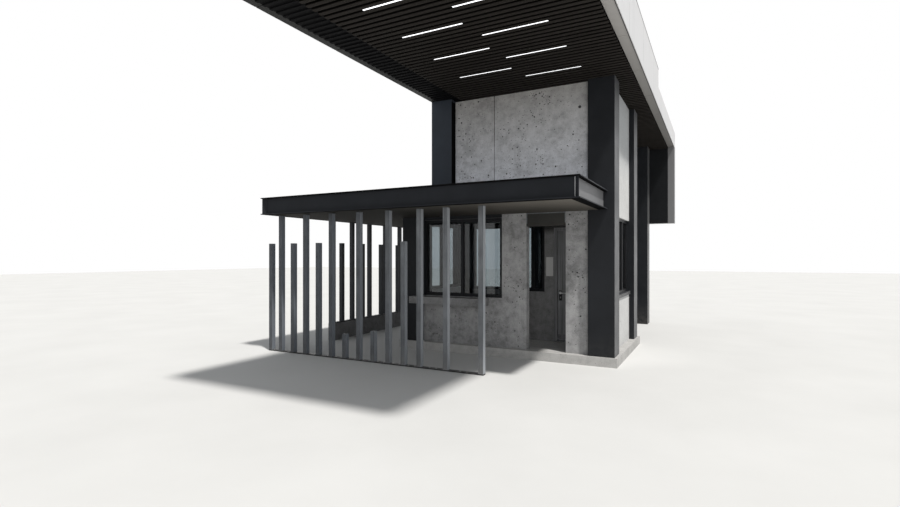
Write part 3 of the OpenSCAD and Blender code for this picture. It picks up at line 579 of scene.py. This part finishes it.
def cylinder(bm, centre, axis, radius, length, segments):
    """Closed cylinder along Y or Z."""
    turn = Matrix.Rotation(math.pi / 2, 4, "X") if axis == Y else Matrix()
    bmesh.ops.create_cone(bm, cap_ends=True, segments=segments, radius1=radius, radius2=radius,
                          depth=length, matrix=Matrix.Translation(centre) @ turn)


def cut_from(node, name, cutter_bm):
    """A copy of a CAD node with the cutter's holes in it, which stands for the node."""
    obj = put(name, NODES[node].data.copy())
    bm = bmesh.new()
    bm.from_mesh(obj.data)
    bmesh.ops.remove_doubles(bm, verts=bm.verts, dist=MERGE)
    bmesh.ops.dissolve_limit(bm, angle_limit=0.001, verts=bm.verts, edges=bm.edges)
    bm.to_mesh(obj.data)
    bm.free()
    cutter = bm_object("cutter", cutter_bm)
    mod = obj.modifiers.new("holes", "BOOLEAN")
    mod.operation, mod.solver, mod.object = "DIFFERENCE", "EXACT", cutter
    bpy.context.view_layer.update()
    result = bpy.data.meshes.new_from_object(obj.evaluated_get(bpy.context.evaluated_depsgraph_get()))
    obj.modifiers.clear()
    obj.data = result
    bpy.data.objects.remove(cutter)
    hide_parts(node)
    return obj


# ---------------------------------------------------------------- cast concrete with air holes

# an air hole's radius: the least, the mean of what is added to it, the most
HOLE_LEAST, HOLE_MORE, HOLE_MOST = 0.0045, 0.0036, 0.016
HOLE_SPACE, FACE_MARGIN, CLUMPED = 0.003, 0.03, 0.55
# tie holes as (X, Z, radius), in whichever front face they fall, and how deep they are
TIE_DEPTH = 0.025
TIES = [(1.417, 4.228, 0.025), (1.430, 0.773, 0.014), (-1.281, 0.300, 0.012), (-0.76, 4.228, 0.014)]
# node: (its outer face is its highest Y, air holes per square metre)
HOLED = {"front_upper_panels": (False, 85), "rear_upper_panels": (True, 40), "front_piers": (False, 60),
         "front_dado": (False, 40), "rear_wall": (True, 40), "rear_dado": (True, 40)}


def air_holes(bm, rng, lo, hi, y, per_m2):
    """Shallow pits in clumps and a few deep tie holes in the face at y, over one rectangle."""
    width, tall = hi[0] - lo[0], hi[2] - lo[2]
    clumps = [(rng.uniform(lo[0], hi[0]), rng.uniform(lo[2], hi[2]))
              for _ in range(max(2, int(width * tall * 3)))]
    placed = [(x, z, r) for x, z, r in TIES if lo[0] < x < hi[0] and lo[2] < z < hi[2]]
    for x, z, r in placed:
        cylinder(bm, (x, y, z), Y, r, 2 * TIE_DEPTH, 20)
    wanted = int(width * tall * per_m2)
    tries = 0
    while wanted and tries < 4000:
        tries += 1
        if rng.random() < CLUMPED:
            cx, cz = rng.choice(clumps)
            x, z = rng.gauss(cx, 0.10), rng.gauss(cz, 0.13)
        else:
            x, z = rng.uniform(lo[0], hi[0]), rng.uniform(lo[2], hi[2])
        r = min(HOLE_MOST, HOLE_LEAST + rng.expovariate(1 / HOLE_MORE))
        if min(x - lo[0], hi[0] - x, z - lo[2], hi[2] - z) <= FACE_MARGIN:
            continue
        if any((x - a) ** 2 + (z - b) ** 2 < (r + c + HOLE_SPACE) ** 2 for a, b, c in placed):
            continue
        placed.append((x, z, r))
        wanted -= 1
        squash = Matrix.Diagonal((1.0, rng.uniform(0.7, 1.1), rng.uniform(0.8, 1.2), 1.0))
        spin = Matrix.Rotation(rng.uniform(0, math.pi), 4, "Y")
        bmesh.ops.create_icosphere(bm, subdivisions=1, radius=r,
                                   matrix=Matrix.Translation((x, y, z)) @ spin @ squash)


def mark_pits(obj):
    """Marks the faces inside the holes, which are painted nearly black as painted shade: small slanted ones
    in the air holes, and the flat bottoms of the tie holes."""
    marks = [0.0] * len(obj.data.polygons)
    heights = [v.co.y for v in obj.data.vertices]
    outer_faces = (round(min(heights), 4), round(max(heights), 4))
    for face in obj.data.polygons:
        depth = min(abs(face.center.y - y) for y in outer_faces)
        slanted = face.area < 0.0009 and abs(face.normal.y) < 0.9999
        if depth < 0.03 and (slanted or face.area < 0.003 and depth > 0.002):
            marks[face.index] = 1.0
    obj.data.attributes.new("pit", "FLOAT", "FACE").data.foreach_set("value", marks)


for seed, (node, (rear, per_m2)) in enumerate(HOLED.items(), 71):
    rng = random.Random(seed)
    cutter = bmesh.new()
    for lo, hi in islands(node):
        air_holes(cutter, rng, lo, hi, hi[1] if rear else lo[1], per_m2)
    cast = cut_from(node, node + "_cast", cutter)
    mark_pits(cast)
    give(cast, UPPER if "upper" in node else MAT["wall_concrete"])
    soften(cast, 0.004, 2, 80)


# ---------------------------------------------------------------- roof edges as sheet panels

SIDE_FIRST, SIDE_PITCH, END_PITCH = 0.7, 1.4, 1.16
JOINT_WIDTH, JOINT_DEPTH = 0.010, 0.008


def edge_piece(name, pairs, axis, first, pitch, material):
    """Boxes with a narrow joint round them every pitch along an axis."""
    half = JOINT_WIDTH / 2
    bm = bmesh.new()
    for lo, hi in pairs:
        stations = [(lo[axis], 0.0)]
        place = lo[axis] + first
        while place < hi[axis] - JOINT_WIDTH:
            stations += [(place - half, 0.0), (place - half, JOINT_DEPTH),
                         (place + half, JOINT_DEPTH), (place + half, 0.0)]
            place += pitch
        stations.append((hi[axis], 0.0))
        loft(bm, axis, stations, lo, hi)
    return soften(give(bm_object(name, bm), material), 0.003, 2, 50)


left_edge, right_edge = islands("side_fascias")
raised_lo, raised_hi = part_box("raised_edge")
edge_piece("roof_edge_left", [left_edge], Y, SIDE_FIRST, SIDE_PITCH, EDGE_DARK)
edge = edge_piece("roof_edge_right", [(right_edge[0], right_edge[1] - Vector((0.004, 0.0, 0.0)))],
                  Y, SIDE_FIRST, SIDE_PITCH, EDGE_UNDER_SHADED)
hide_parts("side_fascias")
edge = edge_piece("roof_edge_ends", islands("end_fascias"), X, END_PITCH, END_PITCH, EDGE_END)
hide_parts("end_fascias")
edge = edge_piece("raised_edge_panels", [(raised_lo, raised_hi - Vector((0.002, 0.0, 0.0)))],
                  Y, SIDE_FIRST, SIDE_PITCH, EDGE_WHITE)
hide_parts("raised_edge")

# thin lip between the pale underside and the white outer face of the right edge
lo, hi = right_edge
lip = hi.x - 0.014
box_piece("roof_drip_lip", [
    ((lip, lo.y + 0.002, lo.z - 0.007), (lip + 0.004, hi.y - 0.002, lo.z + 0.001)),
    ((lip, lo.y + 0.002, lo.z - 0.0085), (hi.x - 0.005, hi.y - 0.002, lo.z - 0.006)),
], MAT["dark_steel"])

# the outer face of the right edge is a white sheet over the box, whose grey is painted shade, open at its
# joints
count = int((hi.y - lo.y - SIDE_FIRST) / SIDE_PITCH) + 1
joints = [lo.y + SIDE_FIRST + i * SIDE_PITCH for i in range(count)]
starts = [lo.y + 0.001] + [y + 0.006 for y in joints]
ends = [y - 0.006 for y in joints] + [hi.y - 0.001]
box_piece("roof_face_sheet", [
    ((hi.x - 0.004, start, lo.z + 0.004), (hi.x - SKIN, end, hi.z - 0.004))
    for start, end in zip(starts, ends)
], EDGE_WHITE)

# grey capping along the top of the raised edge
box_piece("raised_edge_cap", [
    ((raised_hi.x - 0.0022, raised_lo.y + 0.001, raised_hi.z - 0.022),
     (raised_hi.x - SKIN, raised_hi.y - 0.001, raised_hi.z - 0.001)),
], RETURN_GREY)


# ---------------------------------------------------------------- shown CAD nodes

SLOT = {part["node"]: part["material_slot"] for part in frame["record"]["subparts"]}
STAND_INS = {*HOLED, "side_fascias", "end_fascias", "raised_edge"}
ROUND = {"dark_steel": 0.003, "header_panel": 0.003, "post_steel": 0.004, "window_frame": 0.002,
         "plinth_concrete": 0.010, "wall_concrete": 0.006, "side_concrete": 0.003, "white_panel": 0.003,
         "door_steel": 0.002, "soffit_slats": 0.003, "roof_sheet": 0.003}
# nodes that look different from the rest of their slot, several of them through painted light and shade
OWN_LOOK = {
    "return_shell": RETURN_GREY, "return_lining": LINING, "roof_girders": PAINTED_SHADE_STEEL,
    "screen_tall_posts": SCREEN_STEEL, "screen_short_posts": SCREEN_STEEL,
    "canopy_side_beams": SIDE_BEAM, "canopy_front_beam": FRONT_BEAM, "canopy_rear_beam": FRONT_BEAM,
    "booth_columns": COLUMN, "upper_columns": UPPER_COLUMN_SKY,
    "right_upper_panel": UPPER_SIDE, "left_upper_panel": UPPER_SIDE,
    "screen_wall": SCREEN_CONCRETE, "counter_shelf": COUNTER_SHADED,
    "vestibule_wall": INNER_SHADED, "vestibule_dado": INNER_SHADED, "door_header": INNER_SHADED,
}
for name, obj in NODES.items():
    if name in STAND_INS:
        continue
    slot = SLOT[name]
    obj.data.materials.clear()
    obj.data.materials.append(OWN_LOOK.get(name, MAT[slot]))
    if slot in ROUND:
        soften(obj, ROUND[slot])


# ---------------------------------------------------------------- windows

def gasket_boxes():
    """A rubber seal round each pane, on both faces of the glass."""
    width, thick = 0.011, 0.007
    found = []
    for lo, hi in islands("window_glass"):
        thin = min(range(3), key=lambda i: hi[i] - lo[i])
        along = 1 - thin
        for near in (lo[thin] - thick, hi[thin]):
            for part in range(4):
                a, b = Vector(lo), Vector(hi)
                a[thin], b[thin] = near, near + thick
                if part < 2:
                    a[Z], b[Z] = (lo[Z], lo[Z] + width) if part else (hi[Z] - width, hi[Z])
                else:
                    a[Z], b[Z] = lo[Z] + width, hi[Z] - width
                    a[along], b[along] = ((lo[along], lo[along] + width) if part == 2
                                          else (hi[along] - width, hi[along]))
                found.append((a, b))
    return found


box_piece("glazing_gaskets", gasket_boxes(), RUBBER)


# ---------------------------------------------------------------- high soffit: battens, light housings

SLAT_PITCH, SLAT_WIDTH = 0.105, 0.055
slats_lo, slats_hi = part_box("slatted_soffit")


def batten_boxes():
    """Battens under the left girder that carry the slats' rhythm on, except at the columns."""
    lo, hi = islands("roof_girders")[0]
    columns = islands("upper_columns") + islands("rear_columns")
    found = []
    i = 0
    while slats_lo.y + i * SLAT_PITCH + SLAT_WIDTH < slats_hi.y:
        y = slats_lo.y + i * SLAT_PITCH
        if not any(a.y - 0.01 < y + SLAT_WIDTH and y < b.y + 0.01 for a, b in columns):
            found.append(((lo.x + 0.002, y + 0.004, lo.z - 0.014),
                          (hi.x - 0.002, y + SLAT_WIDTH - 0.004, lo.z)))
        i += 1
    return found


box_piece("girder_battens", batten_boxes(), PAINTED_SHADE_STEEL, edge=0.002, segments=1)
box_piece("light_housings", [
    pair for lo, hi in islands("light_strips") for pair in rim(lo, hi, 0.0005, 0.004, lo.z - 0.003, hi.z)
], MAT["window_frame"])


# ---------------------------------------------------------------- roof sheets: standing seams and outlets

SEAM_PITCH, SEAM_WIDTH, SEAM_LIP = 0.43, 0.014, 0.003
OUTLET_INSET = (0.18, 0.25)
deck_lo, deck_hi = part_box("roof_deck")
canopy_lo, canopy_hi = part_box("canopy_deck")


def seams(name, lo, hi, foot, tall):
    """Standing seams along Y from lo to hi (X, Y), each folded over to one side at its top."""
    count = int((hi[0] - lo[0]) / SEAM_PITCH)
    start = lo[0] + ((hi[0] - lo[0]) - count * SEAM_PITCH) / 2
    top = foot + tall
    pairs = []
    for i in range(count + 1):
        x = start + i * SEAM_PITCH
        if x - SEAM_WIDTH < lo[0] or x + SEAM_WIDTH > hi[0]:
            continue
        half = SEAM_WIDTH / 2
        pairs.append(((x - half, lo[1], foot), (x + half, hi[1], top)))
        pairs.append(((x - SEAM_WIDTH, lo[1], top - SEAM_LIP), (x + half, hi[1], top)))
    return box_piece(name, pairs, MAT["roof_sheet"])


def outlets():
    """Two drains with a grate at the roof's left corners."""
    bm = bmesh.new()
    x, top = deck_lo.x + OUTLET_INSET[0], deck_hi.z
    for y in (deck_lo.y + OUTLET_INSET[1], deck_hi.y - OUTLET_INSET[1]):
        cylinder(bm, (x, y, top + 0.004), Z, 0.085, 0.008, 32)
        for k in range(8):
            turn = Matrix.Rotation(k * math.pi / 4, 4, "Z")
            spot = Vector((x, y, top + 0.016)) + turn @ Vector((0.052, 0, 0))
            bmesh.ops.create_cube(bm, size=1.0, matrix=Matrix.Translation(spot) @ turn
                                  @ Matrix.Diagonal((0.006, 0.012, 0.022, 1.0)))
        cylinder(bm, (x, y, top + 0.028), Z, 0.06, 0.004, 32)
    return bm_object("roof_outlets", bm)


seams("roof_seams", deck_lo, deck_hi, deck_hi.z, 0.026)
# the canopy's sheets run in front of the booth and, from the step, beside its left columns
STEP_FRONT, STEP_BACK, COLUMN_SIDE = -1.275, -1.255, -2.01
seams("canopy_seams_front", (canopy_lo.x + 0.01, canopy_lo.y + 0.01), (canopy_hi.x - 0.01, STEP_FRONT),
      canopy_hi.z, 0.011)
seams("canopy_seams_side", (canopy_lo.x + 0.01, STEP_BACK), (COLUMN_SIDE, canopy_hi.y - 0.01),
      canopy_hi.z, 0.011)
give(outlets(), BOLT)


# ---------------------------------------------------------------- canopy's edge, shadow gaps above it

WEB_INSET, FLANGE = 0.070, 0.0152
beam_lo, beam_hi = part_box("canopy_front_beam")
rear_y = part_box("canopy_rear_beam")[1].y
web_x, web_y = beam_hi.x - WEB_INSET, beam_lo.y + WEB_INSET
web_low, web_high = beam_lo.z + FLANGE, beam_hi.z - FLANGE

# bright strip in the corner where the webs meet: a painted highlight on the corner edge
box_piece("canopy_corner_painted_highlight", [
    ((web_x - 0.016, web_y - 0.006, web_low), (web_x - 0.002, web_y - SKIN, web_high)),
], CORNER_HIGHLIGHT, edge=0.002)

# the sunny side's web carries a light sheet as painted sunlight; a black strip on the top flange's front edge
# is a painted shadow
box_piece("canopy_web_painted_sunlight", [
    ((web_x + SKIN, web_y + 0.002, web_low + 0.001), (web_x + SHEET, rear_y - 0.075, web_high - 0.001)),
], SUNLIT_WEB)
box_piece("canopy_edge_painted_shadow", [
    ((beam_lo.x + 0.001, beam_lo.y - SHEET, web_high),
     (beam_hi.x - 0.001, beam_lo.y - SKIN, beam_hi.z - 0.001)),
], PAINTED_SHADE_STEEL)

# dark sheets on the right sides of the upper left columns: painted shade in the shadow gaps beside the panels
box_piece("shadow_gap_painted_shade", [
    ((hi.x + SKIN, lo.y + 0.003, canopy_hi.z + 0.002), (hi.x + SHEET, hi.y - 0.003, slats_lo.z - 0.006))
    for lo, hi in islands("upper_columns")
], PAINTED_SHADE_STEEL)


# ---------------------------------------------------------------- posts: welds, rail bolts

FRONT_POSTS = ("front_tall_posts", "front_short_posts")
SCREEN_POSTS = ("screen_tall_posts", "screen_short_posts")


def welds():
    """A small fillet round each post at its foot, and at a tall one's head."""
    bm = bmesh.new()
    leg = 0.007
    low = CAD_BOX[0]
    for node in FRONT_POSTS + SCREEN_POSTS:
        for lo, hi in islands(node):
            ends = [(lo.z, 1), (hi.z, -1)] if "tall" in node else [(lo.z, 1)]
            for z, up in ends:
                rings = []
                for out, rise in ((leg, 0.0), (0.0, leg), (-0.001, 0.0)):
                    rings.append([bm.verts.new((max(x, low[0]), max(y, low[1]), z + up * rise)) for x, y in (
                        (lo.x - out, lo.y - out), (hi.x + out, lo.y - out),
                        (hi.x + out, hi.y + out), (lo.x - out, hi.y + out))])
                for p, q in ((0, 1), (1, 2), (2, 0)):
                    for k in range(4):
                        m = (k + 1) % 4
                        bm.faces.new((rings[p][k], rings[p][m], rings[q][m], rings[q][k]))
    return bm_object("post_welds", bm)


def middles(nodes, axis):
    """The middles of all posts of some nodes along an axis, in order."""
    return sorted({round((lo[axis] + hi[axis]) / 2, 4) for node in nodes for lo, hi in islands(node)})


def add_bolt(bm, x, y, z):
    """A washer and a hexagon head that lie at z."""
    cylinder(bm, (x, y, z + 0.0015), Z, 0.015, 0.003, 20)
    cylinder(bm, (x, y, z + 0.008), Z, 0.0105, 0.010, 6)


def rail_bolts():
    """Two bolts between neighbouring front posts, and one between those of the screen."""
    bm = bmesh.new()
    lo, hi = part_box("post_rail")
    row = middles(FRONT_POSTS, X)
    for a, b in zip(row, row[1:]):
        for x in ((a + b) / 2 - 0.06, (a + b) / 2 + 0.06):
            add_bolt(bm, x, (lo.y + hi.y) / 2, hi.z)
    lo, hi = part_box("screen_rail")
    row = middles(SCREEN_POSTS, Y)
    for a, b in zip(row, row[1:]):
        add_bolt(bm, (lo.x + hi.x) / 2, (a + b) / 2, hi.z)
    return bm_object("rail_bolts", bm)


give(welds(), MAT["post_steel"])
give(rail_bolts(), BOLT)


# ---------------------------------------------------------------- door

LEAF_LEFT = 0.729
LEAF_RIGHT = LEAF_LEFT + 0.820
LEAF_FACES = ((-0.065, -1), (-0.020, 1))
HANDLE_X, HANDLE_Z = LEAF_LEFT + 0.060, 1.070
LOCK_Z = HANDLE_Z - 0.085
HINGE_X, HINGE_Y, HINGE_HEIGHTS = 1.589, -0.0113, (0.365, 1.210, 2.055)
FLOOR_Z = 0.150


def on_leaf(x0, x1, z0, z1, near, far):
    """The same box on the front and on the back of the door leaf, from near to far off it."""
    return [((x0, min(y + out * near, y + out * far), z0), (x1, max(y + out * near, y + out * far), z1))
            for y, out in LEAF_FACES]


def lock_set():
    """Keyhole cylinder under each lever."""
    bm = bmesh.new()
    bodies = on_leaf(HANDLE_X - 0.004, HANDLE_X + 0.004, LOCK_Z - 0.018, LOCK_Z + 0.002, 0.0, 0.008)
    for (y, out), (lo, hi) in zip(LEAF_FACES, bodies):
        cylinder(bm, (HANDLE_X, y + out * 0.0055, LOCK_Z + 0.004), Y, 0.0085, 0.005, 24)
        add_box(bm, lo, hi)
    return bm_object("door_lock", bm)


lever = put("door_levers", NODES["door_handles"].data.copy())
give(smooth(lever, 40), MAT["handle_steel"], DOOR)
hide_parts("door_handles")
soften(give(smooth(lock_set(), 30), MAT["handle_steel"], DOOR), 0.0008)
box_piece("door_lock_plates",
          on_leaf(HANDLE_X - 0.029, HANDLE_X + 0.029, HANDLE_Z - 0.145, HANDLE_Z + 0.045, SKIN, 0.0045),
          MAT["window_frame"], DOOR, 0.0015)
box_piece("door_kick_plate",
          on_leaf(LEAF_LEFT + 0.012, LEAF_RIGHT - 0.012, 0.180, 0.285, SKIN, 0.0017)[:1],
          KICK, DOOR, 0.0006)
box_piece("door_keyways",
          on_leaf(HANDLE_X - 0.0008, HANDLE_X + 0.0008, HANDLE_Z - 0.098, HANDLE_Z - 0.087, 0.0079, 0.0088),
          RUBBER, DOOR)

# rubber seal on the frame's stop
STOP_LEFT, STOP_RIGHT = LEAF_LEFT - 0.006, LEAF_RIGHT + 0.003
SEAL_WIDTH = 0.008
near, far = LEAF_FACES[0][0] - 0.005, LEAF_FACES[0][0] - 0.0015
foot, head = FLOOR_Z + 0.010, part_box("door_frame")[1].z - 0.047
box_piece("door_seal", [
    ((STOP_LEFT, near, foot), (STOP_LEFT + SEAL_WIDTH, far, head)),
    ((STOP_RIGHT - SEAL_WIDTH, near, foot), (STOP_RIGHT, far, head)),
    ((STOP_LEFT + SEAL_WIDTH, near, head - SEAL_WIDTH), (STOP_RIGHT - SEAL_WIDTH, far, head)),
], RUBBER)


def threshold():
    """Steel threshold under the leaf, with two rows of screws."""
    bm = bmesh.new()
    section = [(-0.112, 0.0002), (-0.104, 0.0060), (-0.070, 0.0080),
               (-0.030, 0.0080), (-0.020, 0.0060), (-0.0165, 0.0002)]
    left, right = [[bm.verts.new((x, y, FLOOR_Z + z)) for y, z in section] for x in (STOP_LEFT, STOP_RIGHT)]
    for k in range(len(section)):
        m = (k + 1) % len(section)
        bm.faces.new((left[k], left[m], right[m], right[k]))
    bm.faces.new(left)
    bm.faces.new(right)
    for y in (-0.088, -0.046):
        for x in (STOP_LEFT + 0.06, (STOP_LEFT + STOP_RIGHT) / 2, STOP_RIGHT - 0.06):
            cylinder(bm, (x, y, FLOOR_Z + 0.0075), Z, 0.004, 0.0015, 16)
    return bm_object("door_threshold", bm)


def hinge_screws():
    """Two screws in the frame's plate of each hinge."""
    bm = bmesh.new()
    for z in HINGE_HEIGHTS:
        for drop in (0.034, 0.012):
            cylinder(bm, (HINGE_X, HINGE_Y, z - drop), Y, 0.0035, 0.0012, 14)
    return bm_object("hinge_screws", bm)


give(threshold(), MAT["handle_steel"])
give(hinge_screws(), BOLT)


# ---------------------------------------------------------------- ceiling lamp, header's edging, blank notice

CEILING_Z = 2.510
LAMP_LO, LAMP_HI = (-1.338, -0.288), (-0.762, 0.288)
box_piece("ceiling_lamp_frame", rim(LAMP_LO, LAMP_HI, 0.0, 0.012, CEILING_Z - 0.014, CEILING_Z - SKIN),
          MAT["header_panel"])
box_piece("ceiling_lamp_panel", [((*LAMP_LO, CEILING_Z - 0.011), (*LAMP_HI, CEILING_Z - 0.0005))],
          MAT["light_strip"])

lo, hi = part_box("entrance_header")
near, far, left, right = lo.y - 0.004, lo.y - SKIN, lo.x + 0.001, hi.x - 0.001
foot, head = lo.z + 0.048, CEILING_Z - 0.016
box_piece("header_foot_edge", [((left, near, lo.z), (right, far, foot))], HEADER_EDGE)
box_piece("header_edging", [
    ((left, near, head), (right, far, CEILING_Z - 0.0005)),
    ((left, near, foot), (left + 0.014, far, head)),
    ((right - 0.014, near, foot), (right, far, head)),
], MAT["post_steel"])

NOTICE_LO, NOTICE_HI = (0.524, -0.1195, 1.386), (0.664, -0.1152, 1.750)
SCREW_X, SCREW_Z = 0.012, 0.014
box_piece("notice_blank_plate", [(NOTICE_LO, NOTICE_HI)], PLATE, edge=0.0012)
screws = bmesh.new()
for x in (NOTICE_LO[0] + SCREW_X, NOTICE_HI[0] - SCREW_X):
    for z in (NOTICE_LO[2] + SCREW_Z, NOTICE_HI[2] - SCREW_Z):
        cylinder(screws, (x, NOTICE_LO[1] - 0.0005, z), Y, 0.0045, 0.0020, 18)
give(bm_object("notice_screws", screws), BOLT)


# ---------------------------------------------------------------- light, floor, camera

def world():
    """Lights the object with a bluish grey, and is white where it shows itself or is reflected."""
    made = bpy.data.worlds.new("studio")
    bpy.context.scene.world = made
    made.use_nodes = True
    tree = made.node_tree
    tree.nodes.clear()
    ray = tree.nodes.new("ShaderNodeLightPath").outputs
    seen = ray["Is Camera Ray"]
    for kind in ("Is Glossy Ray", "Is Transmission Ray"):
        either = tree.nodes.new("ShaderNodeMath")
        either.operation = "MAXIMUM"
        tree.links.new(seen, either.inputs[0])
        tree.links.new(ray[kind], either.inputs[1])
        seen = either.outputs[0]
    pick = tree.nodes.new("ShaderNodeMixShader")
    tree.links.new(seen, pick.inputs[0])
    for index, colour, strength in ((1, (0.94, 0.97, 1.0, 1.0), 0.41), (2, (1.0, 1.0, 1.0, 1.0), 1.0)):
        sky = tree.nodes.new("ShaderNodeBackground")
        sky.inputs["Color"].default_value = colour
        sky.inputs["Strength"].default_value = strength
        tree.links.new(sky.outputs[0], pick.inputs[index])
    out = tree.nodes.new("ShaderNodeOutputWorld")
    tree.links.new(pick.outputs[0], out.inputs["Surface"])


def aim(obj, direction):
    obj.rotation_euler = direction.to_track_quat("-Z", "Y").to_euler()


def lamps():
    """A soft sun from the right and front, and a large disk that fills from the front."""
    sun = bpy.data.lights.new("sun", "SUN")
    sun.energy = 3.6
    sun.angle = math.radians(4)
    sun.color = (1.0, 0.975, 0.94)
    aim(put("sun", sun), Vector((-0.41, 0.22, -0.885)))
    fill = bpy.data.lights.new("fill", "AREA")
    fill.shape = "DISK"
    fill.size = 8.0
    fill.energy = 462.0
    obj = put("fill", fill)
    obj.location = (8.6, -18.8, 4.2)
    aim(obj, Vector((-1.5, -1.5, 1.4)) - obj.location)


def ground():
    reach = 60.0
    data = bpy.data.meshes.new("floor")
    data.from_pydata([(-reach, -reach, 0), (reach, -reach, 0), (reach, reach, 0), (-reach, reach, 0)],
                     [], [(0, 1, 2, 3)])
    s = Shader("pale_floor", Roughness=0.9)
    s.colour(s.ramp(s.noise(0.6, 5.0), (0.3, (0.60, 0.60, 0.59)), (0.7, (0.64, 0.64, 0.63))))
    data.materials.append(s.mat)
    put("floor", data)


def camera():
    data = bpy.data.cameras.new("camera")
    data.sensor_width = 36.0
    data.lens = 20.36
    data.shift_y = 0.0039
    data.clip_end = 300.0
    obj = put("camera", data)
    obj.location = (3.440, -9.590, 1.750)
    obj.rotation_euler = (math.pi / 2, 0.0, math.radians(27.80))
    bpy.context.scene.camera = obj


world()
lamps()
ground()
camera()
bpy.context.scene.view_settings.view_transform = "Standard"
